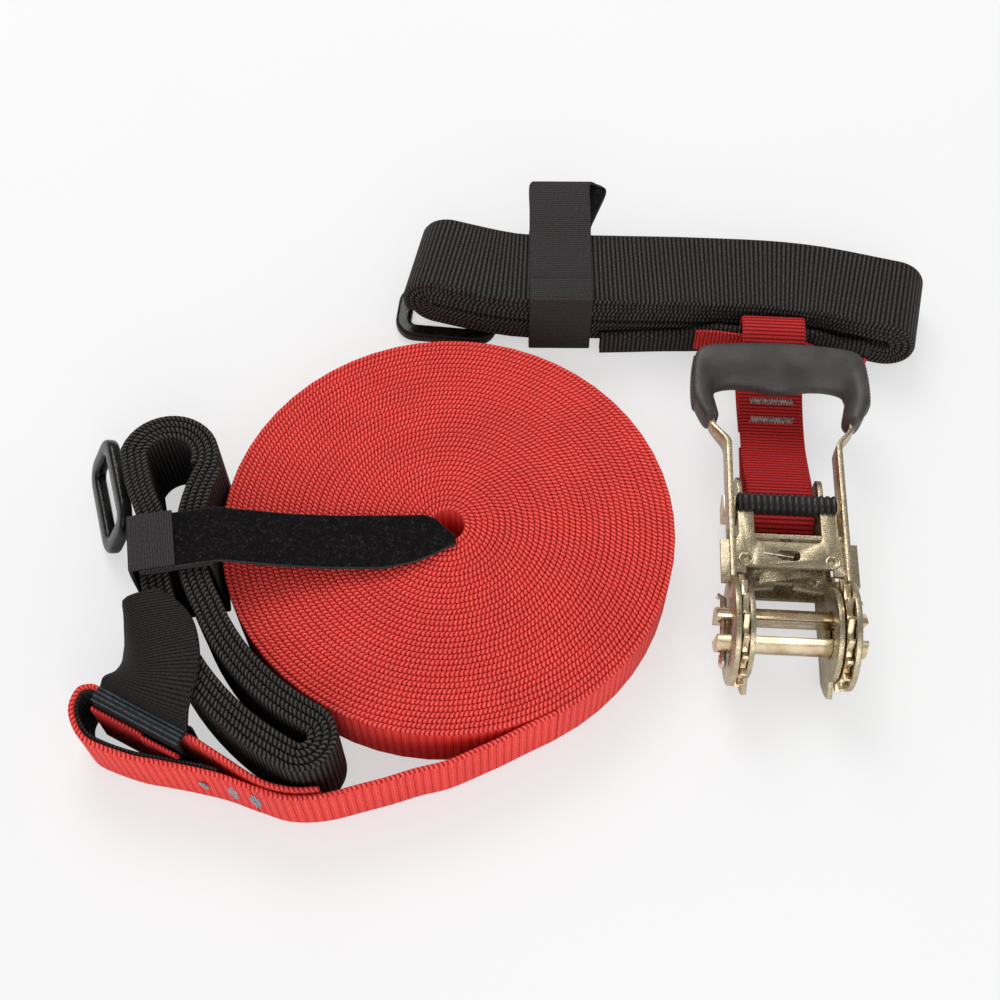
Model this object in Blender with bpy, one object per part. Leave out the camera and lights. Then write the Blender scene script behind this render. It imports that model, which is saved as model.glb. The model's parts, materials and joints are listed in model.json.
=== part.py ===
"""Slackline kit: a coiled flat line with a sewn eye, two tree slings in hanks
with their steel rings and ties, and the ratchet that tensions the line.

Metres, +Z up. The kit lies on the ground, and its origin is under its middle.
"""

import math

import bmesh
import bpy
import numpy as np
from mathutils import Vector

MM = 0.001

# Axes of a plate's outline, and the one that it is thick in
SIDE = (1, 2, 0)
FLAT = (0, 1, 2)
CROSS = (0, 2, 1)

# Fits between pieces
seat_gap = 0.3 * MM
running_gap = 0.3 * MM
cut_overrun = 1.0 * MM
layer_gap = 0.5 * MM

# Where each group lies, from the middle of the kit to the middle of the coil
coil_x = -26.9 * MM
coil_y = -27.2 * MM
route_step = 1.0 * MM

# The line: flat webbing, coiled, with a sewn eye
line_width = 25.0 * MM
line_thickness = 2.15 * MM
coil_radius = 83.0 * MM
coil_bore_radius = 6.0 * MM
coil_turns = 24
coil_steps = 24
coil_end_angle = math.radians(-62.0)
liner_thickness = 1.2 * MM
liner_width = 24.4 * MM
liner_start_steps = 4
liner_end_steps = 14
eye_lift = 3.9 * MM

# The slings: wider webbing wound in hanks
sling_width = 35.0 * MM
sling_thickness = 2.0 * MM
sling_pitch = 2.53 * MM
hank_stand_off = 0.5 * MM
hank_bend_steps = 7
hank_skip_share = 0.9
hank_run_shares = (0.0, 0.1, 0.2, 0.4, 0.5, 0.6, 0.7, 0.8, 0.9, 1.0)
left_hank_loops = 4.0
right_hank_loops = 4.2
lining_thickness = 1.4 * MM

# Ties of hook and loop tape
tie_width = 25.0 * MM
tie_thickness = 1.4 * MM
left_tie_width = 22.0 * MM
tie_room = tie_thickness + 2 * seat_gap

# Steel rings of the slings
ring_length = 42.0 * MM
ring_width = 27.0 * MM
ring_corner_radius = 9.0 * MM
ring_rod = 4.8 * MM

# Ratchet: place, and the plates from the inside out
ratchet_x = 120.5 * MM
ratchet_y = -41.3 * MM
ratchet_turn = math.radians(-3.0)
axle_height = 20.3 * MM
clear_width = 28.2 * MM
base_plate = 1.8 * MM
wheel_plate = 2.2 * MM
handle_plate = 2.0 * MM
plate_gap = 0.6 * MM

# Winding drum
drum_radius = 8.0 * MM
drum_slot = 6.0 * MM
drum_end_reach = 4.8 * MM
drum_steps = 13
drum_turn = math.radians(13.0)
cotter_radius = 1.2 * MM
cotter_reach = 3.0 * MM
cotter_eye_radius = 1.8 * MM
cotter_lift = 2.3 * MM
cotter_neck = 2.25 * MM
cotter_eye_start = math.radians(90.0)
cotter_eye_stop = math.radians(335.0)
cotter_eye_steps = 9

# Ratchet wheels
wheel_teeth = 16
wheel_radius = 19.8 * MM
tooth_depth = 2.9 * MM
tooth_land_share = 0.15
tooth_slope_share = 0.6
tooth_phase_share = 0.75

# Pawls
pawl_plate = 1.8 * MM
pawl_bite = 2.6 * MM
pawl_tip_gap = 0.28 * MM
pawl_tip_width = 2.9 * MM
pawl_wing_reach = 3.0 * MM
release_pull = 4.4 * MM
stop_pull = 1.9 * MM

# Base frame
base_disc_radius = 16.4 * MM
base_lobe_radius = 22.6 * MM
base_length = 67.0 * MM
base_tail_height = 18.0 * MM
base_corner_radius = 6.0 * MM
base_web_start = 22.0 * MM
base_web_plate = 1.8 * MM
base_lug_at = 37.0 * MM
base_lug_width = 12.0 * MM
stop_body_length = 10.0 * MM
stop_tongue_width = 3.0 * MM

# Strap bolt
bolt_setback = 13.0 * MM
bolt_at = base_length - bolt_setback
bolt_height = 11.0 * MM
bolt_radius = 4.0 * MM
bolt_head_flats = 11.0 * MM
bolt_head_height = 4.6 * MM
nut_flats = 11.0 * MM
nut_hex_height = 5.4 * MM
nut_collar_height = 2.6 * MM

# Handle
handle_disc_radius = 19.4 * MM
handle_arm_rise = 1.3 * MM
handle_arm_height = 9.4 * MM
handle_arm_bottom = axle_height + handle_arm_rise
handle_arm_top = handle_arm_bottom + handle_arm_height
handle_arm_end = 90.5 * MM
handle_bend_start = 72.0 * MM
handle_bend_end = 82.5 * MM
handle_web_at = 34.5 * MM
handle_web_plate = 1.8 * MM

# Grip of the handle
grip_half_width = 29.2 * MM
grip_leg_start = 84.5 * MM
grip_leg_tip = 26.2 * MM
grip_bar_at = 109.4 * MM
grip_corner_radius = 11.0 * MM
grip_leg_half = 4.6 * MM
grip_bar_half = 6.1 * MM
grip_peak = 1.9 * MM
grip_half_height = 6.2 * MM
grip_height = 26.3 * MM

# Release pawl and its finger grip
release_body_width = 17.6 * MM
release_window_width = 12.0 * MM
release_window_start = 32.0 * MM
release_far_edge = 49.2 * MM
release_bar_start = 45.5 * MM
release_grip_start = 44.0 * MM
release_grip_length = 7.4 * MM
release_grip_height = 7.2 * MM
release_grip_ribs = 16
release_rib_depth = 0.7 * MM
release_round_share = 0.34
release_tab_at = 24.5 * MM
release_tab_width = 8.0 * MM
release_wing_length = 16.8 * MM

# Springs of the pawls
spring_wire = 0.8 * MM
release_spring_radius = 1.75 * MM
stop_spring_radius = 2.9 * MM
spring_turns = 5

# Red strap of the ratchet
strap_width = 25.0 * MM
strap_thickness = 2.1 * MM

# Shares along the left hank's run, from its top bend to its lower bend
left_hank_start = math.radians(167.6)
left_hank_stop = math.radians(241.5)
left_hank_shares = (0.0, 0.1, 0.2, 0.4, 0.5, 1.0)
left_hank_halves = (19.4 * MM, 15.4 * MM, 11.4 * MM, 11.4 * MM, 12.0 * MM, 12.0 * MM)
left_tie_room_shares = (0.0, 0.6, 1.0, 1.0, 0.4, 0.0)
left_tie_shares = (0.2, 0.4)
left_tie_route = [
    (80, 40.4), (70, 37.4), (56, 33.2), (40, 30.0), (25, 28.4), (16, 27.6), (9, 27.1), (3, 26.8), (-2.0, 26.6),
]
left_tie_drift_share = 0.11
left_tie_shift = -1.3 * MM
left_tie_tip_reach = (-2.0 * MM, 1.0 * MM, 4.0 * MM, 7.5 * MM, 14.0 * MM, 25.0 * MM)
left_tie_far_shares = (0.15, 0.48, 0.85, 1.0, 1.0, 1.0)
left_tie_near_shares = (0.15, 0.28, 0.4, 0.56, 0.8, 1.0)

# Shares along the right hank's run, from its ring to its free bend
right_hank_shares = (0.0, 0.1, 0.2, 0.4, 0.6, 0.8, 1.0)
right_hank_route = [
    (-3.5, 121.5), (13.0, 118.0), (30.0, 116.5), (59.0, 116.2), (105.0, 116.5), (142.0, 113.5), (177.0, 105.0),
]
right_hank_half = 12.1 * MM
right_hank_ahead_share = 0.02
right_ring_lift_shares = (1.0, 0.75, 0.3, 0.0, 0.0, 0.0, 0.0)
right_tie_room_shares = (0.0, 0.5, 1.0, 1.0, 0.0, 0.0, 0.0)
right_tie_share = 0.3
right_tie_loop = 21.0 * MM
right_tie_skew = 7.0 * MM

# Routes beside the coil: how far from its outer face, and at which angle round it
tail_route = [(5.4, 274.3), (10.7, 263.9), (17.9, 255.7), (26.2, 248.5), (30.9, 243.4), (33.5, 237.8)]
eye_route = [
    (36.2, 232.8), (40.4, 228.4), (47.1, 223.8), (53.2, 220.2), (58.9, 216.5),
    (61.9, 214.0), (62.3, 211.3), (60.6, 209.2), (56.4, 207.8), (52.8, 208.2),
]
strand_start = (49.8, 209.8)
strand_stop = (34.7, 224.3)
strand_shares = (-0.06, 0.0, 0.33, 0.67, 1.0, 1.1)
eye_lift_shares = (0.0, 0.36, 0.5, 0.56, 0.84, 0.9, 1.0)
eye_lift_value_shares = (0.0, 0.0, 0.6, 1.0, 1.0, 0.4, 0.0)

# The band of the left sling's end: its outer edge, the crease over the hank's corner and its inner edge
left_band_outer = [
    (31.9, 199.0, 14), (37.0, 202.3, 18), (40.0, 205.8, 21.5), (43.5, 207.8, 26), (47.0, 208.7, 30.5),
]
left_band_crease = [
    (31.7, 199.0, 38.4), (31.3, 203.0, 38.0), (31.6, 208.5, 37.6), (33.0, 212.5, 37.4), (38.0, 215.0, 36.6),
]
left_band_inner = [
    (19.0, 199.0, 38.8), (13.2, 205.0, 38.0), (13.2, 210.8, 37.4), (18.5, 217.4, 37.2), (28.6, 222.3, 36.9),
]

# The right sling's end, seen from above
right_eye_route = [
    (167, 87.0), (160, 88.4), (152, 89.7), (144, 90.4), (136, 90.9), (124, 91.4),
    (115, 92.2), (106, 94.6), (98, 96.0), (86, 96.3), (72, 96.1), (60, 96.0),
]
right_eye_lift_shares = (0.0, 0.14, 0.27, 0.55, 0.75, 1.0)
right_eye_lift_value_shares = (0.0, 0.0, 1.0, 1.0, 0.2, 0.0)
right_eye_height_shares = (0.0, 0.64, 0.78, 1.0)
right_eye_height_value_shares = (0.47, 0.47, 0.34, 0.32)
right_lining_steps = 25
right_lining_lift = 4.1 * MM
right_lining_width = 12.0 * MM

# The ratchet's strap, seen from its side
strap_route = [
    (86, 4.6), (75, 3.9), (64, 4.1), (54, 5.2), (46.5, 6.3), (43.6, 11), (46.5, 15.9), (54, 16.8), (63, 16.0),
    (73, 12.4), (83, 9.2), (92, 8.0), (102, 8.6), (110, 10.6), (117, 15.2), (122.5, 20.8), (128.4, 23.9),
    (134.4, 23.7), (136.4, 20.8), (136.5, 12), (136.5, 3.4), (134.9, 1.35), (129.4, 1.35), (118, 1.35),
    (106, 2.4), (94, 4.4),
]

# Rings: middle and turn
ring_edge_radius = 1.0 * MM
left_ring_stand_off = 45.340368 * MM
left_ring_bearing = math.radians(171.7120584)
left_ring_reach = coil_radius + left_ring_stand_off
left_ring_height = 12.9 * MM
left_ring_x = left_ring_reach * math.cos(left_ring_bearing)
left_ring_y = left_ring_reach * math.sin(left_ring_bearing)
left_ring_place = (left_ring_x, left_ring_y, left_ring_height)
left_ring_turn = (math.radians(118.0), 0.0, math.radians(107.0))
right_ring_place = (-2.6 * MM, 112.0 * MM, 2.4 * MM)
right_ring_turn = (0.0, 0.0, math.radians(-6.0))

# Lesser sizes of the ratchet's pieces
base_shoulder = 4.6 * MM
base_lobe_start = 205.0
base_lobe_step = 6.0
base_web_lift = 0.5 * MM
stop_wing_length = 7.0 * MM
stop_notch_width = 7.0 * MM
stop_notch_depth = 3.4 * MM
pawl_dimple = 1.7 * MM
thread_gap = 0.1 * MM
handle_neck_angle = 14.0
handle_neck = 3.0 * MM
handle_tang_height = 5.6 * MM
release_wing_setback = -4.0 * MM
release_recess_width = 20.0 * MM
release_dimple_x = 14.6 * MM
release_slot = 4.2 * MM
grip_leg_inset = 1.2 * MM
grip_leg_taper = 6.5 * MM
grip_tip_half = 2.9 * MM
grip_end_cover = 0.6 * MM

# Steps of curves and round outlines
circle_steps = 32
small_circle_steps = 12
bolt_steps = 16
dimple_steps = 10
bore_steps = 8
corner_steps = 3
plate_corner_steps = 4
ring_corner_steps = 5
base_disc_steps = 14
base_lobe_steps = 8
handle_disc_steps = 26
handle_bend_steps = 6
tail_steps = 4
eye_steps = 3
tape_steps = 2
grip_corner_steps = 5
grip_steps = 2
grip_sides = 12
spring_turn_steps = 9
rib_steps = 4
gap_skip_steps = 6

# Shares of a piece's own size
grip_round_share = 0.86
grip_bar_shares = (0.66, 0.33, 0.0)
grip_bar_half_shares = (0.94, 0.98)
stop_dimple_share = 0.75
stop_dimple_setback_share = 1.5
tie_slope_share = 0.6
tie_top_share = 2.4

# Plates' middle planes, from the ratchet's middle outwards
base_side = clear_width / 2 + base_plate / 2
wheel_side = clear_width / 2 + base_plate + plate_gap + wheel_plate / 2
handle_side = clear_width / 2 + base_plate + wheel_plate + 2 * plate_gap + handle_plate / 2
handle_inner = handle_side - handle_plate / 2
handle_outer = handle_side + handle_plate / 2

# The pawls meet the wheels one tooth above and one tooth below the axle's level
tip_slope = math.tan(2 * math.pi / wheel_teeth)
tip_drop = tip_slope * pawl_bite + pawl_plate / 2
tip_reach = wheel_radius + pawl_tip_gap
tip_square = 1 + tip_slope**2
pawl_tip_rest = (tip_slope * tip_drop + math.sqrt(tip_square * tip_reach**2 - tip_drop**2)) / tip_square
pawl_lift = (pawl_tip_rest - pawl_bite) * tip_slope


def clear_scene():
    for item in list(bpy.data.objects):
        bpy.data.objects.remove(item, do_unlink=True)


def finish(name, colour, roughness, metallic=0.0):
    material = bpy.data.materials.new(name)
    material.use_nodes = True
    shader = material.node_tree.nodes["Principled BSDF"]
    shader.inputs["Base Color"].default_value = (*colour, 1.0)
    shader.inputs["Roughness"].default_value = roughness
    shader.inputs["Metallic"].default_value = metallic
    material.diffuse_color = (*colour, 1.0)
    return material


def place(name, mesh, material, parent=None, smooth=None):
    mesh.materials.append(material)
    item = bpy.data.objects.new(name, mesh)
    bpy.context.scene.collection.objects.link(item)
    item.parent = parent
    if smooth is not None:
        mesh.shade_smooth()
        mesh.set_sharp_from_angle(angle=math.radians(smooth))
    return item


def empty(name, location, parent=None, turn=0.0):
    item = bpy.data.objects.new(name, None)
    bpy.context.scene.collection.objects.link(item)
    item.location = location
    item.rotation_euler = (0.0, 0.0, turn)
    item.parent = parent
    return item


def settle(parent, place_of_parent):
    """Puts the pieces under an empty back where they were drawn."""
    for piece in parent.children:
        piece.location -= place_of_parent


def mesh_from(bm, name):
    bmesh.ops.recalc_face_normals(bm, faces=bm.faces)
    mesh = bpy.data.meshes.new(name)
    bm.to_mesh(mesh)
    bm.free()
    return mesh


def hide_helper(item):
    item.hide_render = True
    item.display_type = "WIRE"


def boolean(item, helper, operation):
    hide_helper(helper)
    step = item.modifiers.new(operation.lower() + "_" + helper.name, "BOOLEAN")
    step.operation = operation
    step.solver = "EXACT"
    step.object = helper


def cut(item, helper):
    boolean(item, helper, "DIFFERENCE")


def fuse(item, helper):
    boolean(item, helper, "UNION")


def unit(vectors):
    lengths = np.linalg.norm(vectors, axis=-1, keepdims=True)
    return vectors / np.maximum(lengths, 1e-12)


def curve_through(points, steps):
    """Points on a smooth curve through the given ones, with so many steps in each span."""
    given = np.array(points, dtype=float)
    ends = (2 * given[0] - given[1], 2 * given[-1] - given[-2])
    padded = np.vstack([ends[0], given, ends[1]])
    out = []
    for index in range(1, len(padded) - 2):
        before, start, stop, after = padded[index - 1 : index + 3]
        for step in range(steps):
            t = step / steps
            out.append(
                0.5
                * (
                    2 * start
                    + (stop - before) * t
                    + (2 * before - 5 * start + 4 * stop - after) * t**2
                    + (3 * start - before - 3 * stop + after) * t**3
                )
            )
    out.append(given[-1])
    return np.array(out)


def reading(shares, values, at):
    """A value read between the ones given at the shares of a run."""
    return np.interp(at, shares, values)


def strip_mesh(name, edge_a, edge_b, thickness):
    """A flat strip of webbing between its two edges, as one closed body."""
    edge_a = np.array(edge_a)
    edge_b = np.array(edge_b)
    middle = (edge_a + edge_b) / 2
    along = np.gradient(middle, axis=0)
    normal = unit(np.cross(unit(edge_b - edge_a), unit(along)))
    offset = normal * thickness / 2
    rows = np.stack([edge_a + offset, edge_b + offset, edge_b - offset, edge_a - offset], axis=1)
    bm = bmesh.new()
    rings = [[bm.verts.new(corner) for corner in row] for row in rows]
    for first, second in zip(rings, rings[1:]):
        for side in range(4):
            other = (side + 1) % 4
            bm.faces.new((first[side], first[other], second[other], second[side]))
    bm.faces.new(rings[0])
    bm.faces.new(list(reversed(rings[-1])))
    return mesh_from(bm, name)


def band_mesh(name, columns, thickness):
    """A wide strip through several lengthwise lines, so that it can crease, as one closed body."""
    grid = np.array(columns)
    along = np.gradient(grid, axis=1)
    across = np.gradient(grid, axis=0)
    normal = unit(np.cross(unit(across), unit(along)))
    upper = grid + normal * thickness / 2
    lower = grid - normal * thickness / 2
    bm = bmesh.new()
    rings = []
    for row in range(grid.shape[1]):
        loop = [*upper[:, row], *lower[::-1, row]]
        rings.append([bm.verts.new(corner) for corner in loop])
    count = len(rings[0])
    for first, second in zip(rings, rings[1:]):
        for side in range(count):
            other = (side + 1) % count
            bm.faces.new((first[side], first[other], second[other], second[side]))
    bm.faces.new(rings[0])
    bm.faces.new(list(reversed(rings[-1])))
    return mesh_from(bm, name)


def upright(plan, low, width):
    """The two edges of a strip that stands on edge along a path seen from above."""
    plan = np.array(plan)
    base = np.broadcast_to(np.asarray(low, dtype=float), (len(plan),))
    edge_a = np.column_stack([plan, base])
    edge_b = np.column_stack([plan, base + width])
    return edge_a, edge_b


def offset_path(plan, distance):
    """A path beside another one, to its left."""
    plan = np.array(plan)
    along = unit(np.gradient(plan, axis=0))
    side = np.column_stack([-along[:, 1], along[:, 0]])
    return plan + side * distance


def least_gap(points, thickness, skip):
    """The least gap of a wound strip to its own other turns, measured on its points."""
    points = np.array(points)
    halves = np.vstack([points, (points[1:] + points[:-1]) / 2])
    order = np.concatenate([np.arange(len(points)), np.arange(len(points) - 1) + 0.5])
    least = np.inf
    for index, point in enumerate(halves):
        far = np.abs(order - order[index]) > skip
        if far.any():
            least = min(least, np.linalg.norm(halves[far] - point, axis=1).min())
    return least - thickness


def report_gap(name, points, thickness, skip):
    print(f"{name}: least gap to itself {least_gap(points, thickness, skip) / MM:.2f} mm")


def route(points):
    return [tuple(value * route_step for value in point) for point in points]


def arc(centre, radius, start, stop, steps):
    """Points on an arc, from one angle in degrees to another."""
    out = []
    for step in range(steps + 1):
        angle = math.radians(start + (stop - start) * step / steps)
        out.append((centre[0] + radius * math.cos(angle), centre[1] + radius * math.sin(angle)))
    return out


def ring_points(centre, radius, steps):
    return arc(centre, radius, 0.0, 360.0, steps)[:-1]


def rounded_box(low, high, radius, steps):
    (x0, y0), (x1, y1) = low, high
    out = []
    out += arc((x1 - radius, y1 - radius), radius, 0, 90, steps)
    out += arc((x0 + radius, y1 - radius), radius, 90, 180, steps)
    out += arc((x0 + radius, y0 + radius), radius, 180, 270, steps)
    out += arc((x1 - radius, y0 + radius), radius, 270, 360, steps)
    return out


def plate_mesh(name, outline, holes, low, high, axes):
    """A flat plate with holes. Its outline lies in the first two axes and it is thick in the third."""
    bm = bmesh.new()
    edges = []
    for loop in [outline, *holes]:
        verts = []
        for first, second in loop:
            corner = [0.0, 0.0, 0.0]
            corner[axes[0]], corner[axes[1]], corner[axes[2]] = first, second, low
            verts.append(bm.verts.new(corner))
        edges += [bm.edges.new((a, b)) for a, b in zip(verts, verts[1:] + verts[:1])]
    bmesh.ops.triangle_fill(bm, edges=edges, use_beauty=True, use_dissolve=False)
    lift = [0.0, 0.0, 0.0]
    lift[axes[2]] = high - low
    raised = bmesh.ops.extrude_face_region(bm, geom=list(bm.faces))
    moved = [item for item in raised["geom"] if isinstance(item, bmesh.types.BMVert)]
    bmesh.ops.translate(bm, verts=moved, vec=Vector(lift))
    return mesh_from(bm, name)


def box_points(low, high):
    return [(low[0], low[1]), (high[0], low[1]), (high[0], high[1]), (low[0], high[1])]


def block(name, low, high, parent, material):
    outline = box_points(low[:2], high[:2])
    return place(name, plate_mesh(name, outline, [], low[2], high[2], FLAT), material, parent)


def tube_mesh(name, sections):
    """A closed body through rings of points, one ring for each station."""
    bm = bmesh.new()
    rings = [[bm.verts.new(corner) for corner in ring] for ring in sections]
    count = len(rings[0])
    for first, second in zip(rings, rings[1:]):
        for side in range(count):
            other = (side + 1) % count
            bm.faces.new((first[side], first[other], second[other], second[side]))
    bm.faces.new(rings[0])
    bm.faces.new(list(reversed(rings[-1])))
    return mesh_from(bm, name)


def wire(name, points, radius, material, parent, resolution=1, cyclic=False):
    """A round wire through the points."""
    curve = bpy.data.curves.new(name, "CURVE")
    curve.dimensions = "3D"
    curve.bevel_depth = radius
    curve.bevel_resolution = resolution
    curve.use_fill_caps = not cyclic
    spline = curve.splines.new("POLY")
    spline.points.add(len(points) - 1)
    for target, point in zip(spline.points, points):
        target.co = (*point, 1.0)
    spline.use_cyclic_u = cyclic
    item = bpy.data.objects.new(name, curve)
    bpy.context.scene.collection.objects.link(item)
    curve.materials.append(material)
    item.parent = parent
    return item


# The line

def coil_path():
    pitch = (coil_radius - line_thickness / 2 - coil_bore_radius) / coil_turns
    points = []
    for step in range(coil_turns * coil_steps + 1):
        turn = step / coil_steps
        radius = coil_bore_radius + pitch * turn
        angle = coil_end_angle + 2 * math.pi * (coil_turns - turn)
        points.append((radius * math.cos(angle), radius * math.sin(angle)))
    return points


def line_coil(kit, red):
    path = coil_path()
    report_gap("line_coil", path, line_thickness, coil_steps / 2)
    place("line_coil", strip_mesh("line_coil", *upright(path, 0.0, line_width), line_thickness), red, kit)
    return path


def beside_coil(points):
    """Places beside the coil: each given by how far from its outer face it is, and at which angle."""
    out = []
    for away, angle, *height in points:
        reach = coil_radius + away * route_step
        turn = math.radians(angle)
        out.append((reach * math.cos(turn), reach * math.sin(turn), *(value * route_step for value in height)))
    return out


def eye_strand():
    """The straight strand of the line's eye that the sling's end wraps."""
    return [np.array(point) for point in beside_coil([strand_start, strand_stop])]


def line_tail(kit, red, coil):
    end = np.array(coil[-1])
    along = unit(end - np.array(coil[-2]))
    start = end + along * seat_gap
    points = curve_through([start, *beside_coil(tail_route)], tail_steps)
    place("line_tail", strip_mesh("line_tail", *upright(points, 0.0, line_width), line_thickness), red, kit)
    return points


def line_eye(kit, red, black, tail):
    end = tail[-1]
    along = unit(tail[-1] - tail[-2])
    start = end + along * seat_gap
    first, last = eye_strand()
    out = [start, *beside_coil(eye_route)]
    out += [tuple(first + (last - first) * share) for share in strand_shares]
    beside = line_thickness + layer_gap
    back = offset_path(np.array([tail[-1], tail[-5], tail[-9]])[::-1], -beside)[::-1]
    out += [tuple(point) for point in back]
    points = curve_through(out, eye_steps)
    at = np.linspace(0.0, 1.0, len(points))
    low = reading(eye_lift_shares, np.array(eye_lift_value_shares) * eye_lift, at)
    place("line_eye", strip_mesh("line_eye", *upright(points, low, line_width), line_thickness), red, kit)
    inside = offset_path(points, -(line_thickness / 2 + seat_gap + liner_thickness / 2))
    first = liner_start_steps
    last = len(points) - liner_end_steps
    edges = upright(inside[first:last], low[first:last], liner_width)
    place("line_eye_liner", strip_mesh("line_eye_liner", *edges, liner_thickness), black, kit)


# Slings in hanks

def hank_loops(loops, pitch, half_at):
    """Places along and across a hank, wound from its outer layer to its inner one.

    The first value is the share of the run, the second how far past an end the
    bend reaches, and the third how far from the run's middle the strip lies.
    """
    run_steps = len(hank_run_shares) - 1
    steps_in_loop = 2 * (run_steps + hank_bend_steps)
    out = []
    for step in range(round(loops * steps_in_loop) + 1):
        inset = pitch * step / steps_in_loop
        at = step % steps_in_loop
        if at <= run_steps:
            share = hank_run_shares[at]
            out.append((share, 0.0, half_at(share) - inset))
        elif at <= run_steps + hank_bend_steps:
            angle = math.pi * (at - run_steps) / hank_bend_steps
            radius = half_at(1.0) - inset
            out.append((1.0, radius * math.sin(angle), radius * math.cos(angle)))
        elif at <= 2 * run_steps + hank_bend_steps:
            share = hank_run_shares[2 * run_steps + hank_bend_steps - at]
            out.append((share, 0.0, inset - half_at(share)))
        else:
            angle = math.pi * (at - 2 * run_steps - hank_bend_steps) / hank_bend_steps
            radius = half_at(0.0) - inset
            out.append((0.0, -radius * math.sin(angle), -radius * math.cos(angle)))
    return out


def left_hank_half(share):
    return float(reading(left_hank_shares, left_hank_halves, share))


def left_hank_middle(share):
    """How far from the coil's middle the left hank's middle runs."""
    room = float(reading(left_hank_shares, left_tie_room_shares, share)) * tie_room
    return coil_radius + hank_stand_off + room + sling_thickness / 2 + left_hank_half(share)


def left_hank_angle(share):
    return left_hank_start + (left_hank_stop - left_hank_start) * share


def left_sling_hank(kit, black):
    plan = []
    lift = []
    for share, past, aside in hank_loops(left_hank_loops, sling_pitch, left_hank_half):
        angle = left_hank_angle(share)
        outward = np.array([math.cos(angle), math.sin(angle)])
        onward = np.array([-math.sin(angle), math.cos(angle)])
        middle = outward * left_hank_middle(share)
        plan.append(middle - outward * aside + onward * past)
        lift.append(float(reading(left_hank_shares, left_tie_room_shares, share)))
    low = np.array(lift) * tie_room
    skip = hank_skip_share * (len(hank_run_shares) + hank_bend_steps)
    report_gap("left_sling_hank", plan, sling_thickness, skip)
    mesh = strip_mesh("left_sling_hank", *upright(plan, low, sling_width), sling_thickness)
    place("left_sling_hank", mesh, black, kit)


def wrap_path(inner, outer, low, high, clear, start, layers, pitch):
    """A strap round a bundle, seen from its end: from its top, round it and back over its top.

    It starts at a place on top, in the outermost layer, goes down on the outer
    side, under the bundle, up on the inner side and back over the top.
    """
    top = high + clear
    bottom = low - clear
    left = outer + clear
    right = inner - clear
    corner = clear + pitch / 2
    upper = top + layers * pitch
    return [
        (start, upper),
        (left - corner, upper),
        (left, upper - corner),
        (left, (upper + bottom) / 2),
        (left, bottom + corner),
        (left - corner, bottom),
        (right + corner, bottom),
        (right, bottom + corner),
        (right, (top + bottom) / 2),
        (right, top - corner),
        (right + corner, top),
    ]


def left_hank_waist():
    """The middle of the left hank under its tie, as a distance and a way out from the coil."""
    ends = []
    for share in left_tie_shares:
        angle = left_hank_angle(share)
        ends.append(np.array([math.cos(angle), math.sin(angle)]) * left_hank_middle(share))
    middle = (ends[0] + ends[1]) / 2
    distance = float(np.linalg.norm(middle))
    return distance, middle / distance


def left_sling_tie(kit, grey):
    middle, outward = left_hank_waist()
    onward = np.array([-outward[1], outward[0]])
    reach = left_hank_half(left_tie_shares[0]) + sling_thickness / 2
    clear = tie_thickness / 2 + seat_gap
    pitch = tie_thickness + layer_gap
    high = tie_room + sling_width
    wrap = wrap_path(middle - reach, middle + reach, tie_room, high, clear, middle - pitch, 2, pitch)
    fold = middle + reach - 2 * pitch
    top = high + clear
    wrap += [(fold, top), (fold + pitch / 2, top + pitch / 2)]
    over = [(fold, top + pitch), (middle - reach, top + pitch)] + route(left_tie_route)
    points = curve_through(wrap + over, tape_steps)
    edge_a = []
    edge_b = []
    for index, (distance, height) in enumerate(points):
        drift = left_tie_shift
        far = left_tie_width / 2
        near = left_tie_width / 2
        if index > tape_steps * len(wrap):
            drift += max(0.0, middle - reach - distance) * left_tie_drift_share
            far *= float(reading(left_tie_tip_reach, left_tie_far_shares, distance))
            near *= float(reading(left_tie_tip_reach, left_tie_near_shares, distance))
        centre = outward * distance + onward * drift
        edge_a.append((*(centre - onward * far), height))
        edge_b.append((*(centre + onward * near), height))
    place("left_sling_tie", strip_mesh("left_sling_tie", edge_a, edge_b, tie_thickness), grey, kit)


def left_sling_eye(kit, black, red):
    """The sling's end: a band over the hank's corner, wrapped down and under the strand of the line's eye."""
    corner_a, corner_b = eye_strand()
    along = unit(corner_b - corner_a)
    front = np.array([along[1], -along[0]])
    half = sling_thickness / 2
    inner_front = line_thickness / 2 + seat_gap + liner_thickness + 2 * seat_gap
    inner_back = line_thickness / 2 + 2 * seat_gap
    out = inner_front + half
    back = inner_back + half
    top = eye_lift + line_width + 2 * seat_gap + half
    under = eye_lift - seat_gap - half
    bend = sling_thickness
    wrap = [
        (bend - back, top), (out - bend, top), (out, top - bend), (out, (top + under) / 2), (out, under + bend),
        (out - bend, under), (bend - back, under), (-back, under + bend), (-back, (top + under) / 2),
        (-back, top - 2 * bend),
    ]
    columns = []
    bands = (
        (corner_a, left_band_outer),
        ((corner_a + corner_b) / 2, left_band_crease),
        (corner_b, left_band_inner),
    )
    for corner, band in bands:
        rows = [(*(corner + front * reach), height) for reach, height in wrap]
        columns.append(curve_through(beside_coil(band) + rows, tape_steps))
    place("left_sling_eye", band_mesh("left_sling_eye", columns, sling_thickness), black, kit)
    lining = out + half + seat_gap + lining_thickness / 2
    low = under - half
    high = top - 2 * bend
    rows = [(lining, high), (lining, (high + low) / 2), (lining, low)]
    lining_a = [(*(corner_a + front * reach), height) for reach, height in rows]
    lining_b = [(*(corner_b + front * reach), height) for reach, height in rows]
    mesh = strip_mesh("left_sling_eye_lining", lining_a, lining_b, lining_thickness)
    place("left_sling_eye_lining", mesh, red, kit)


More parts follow.
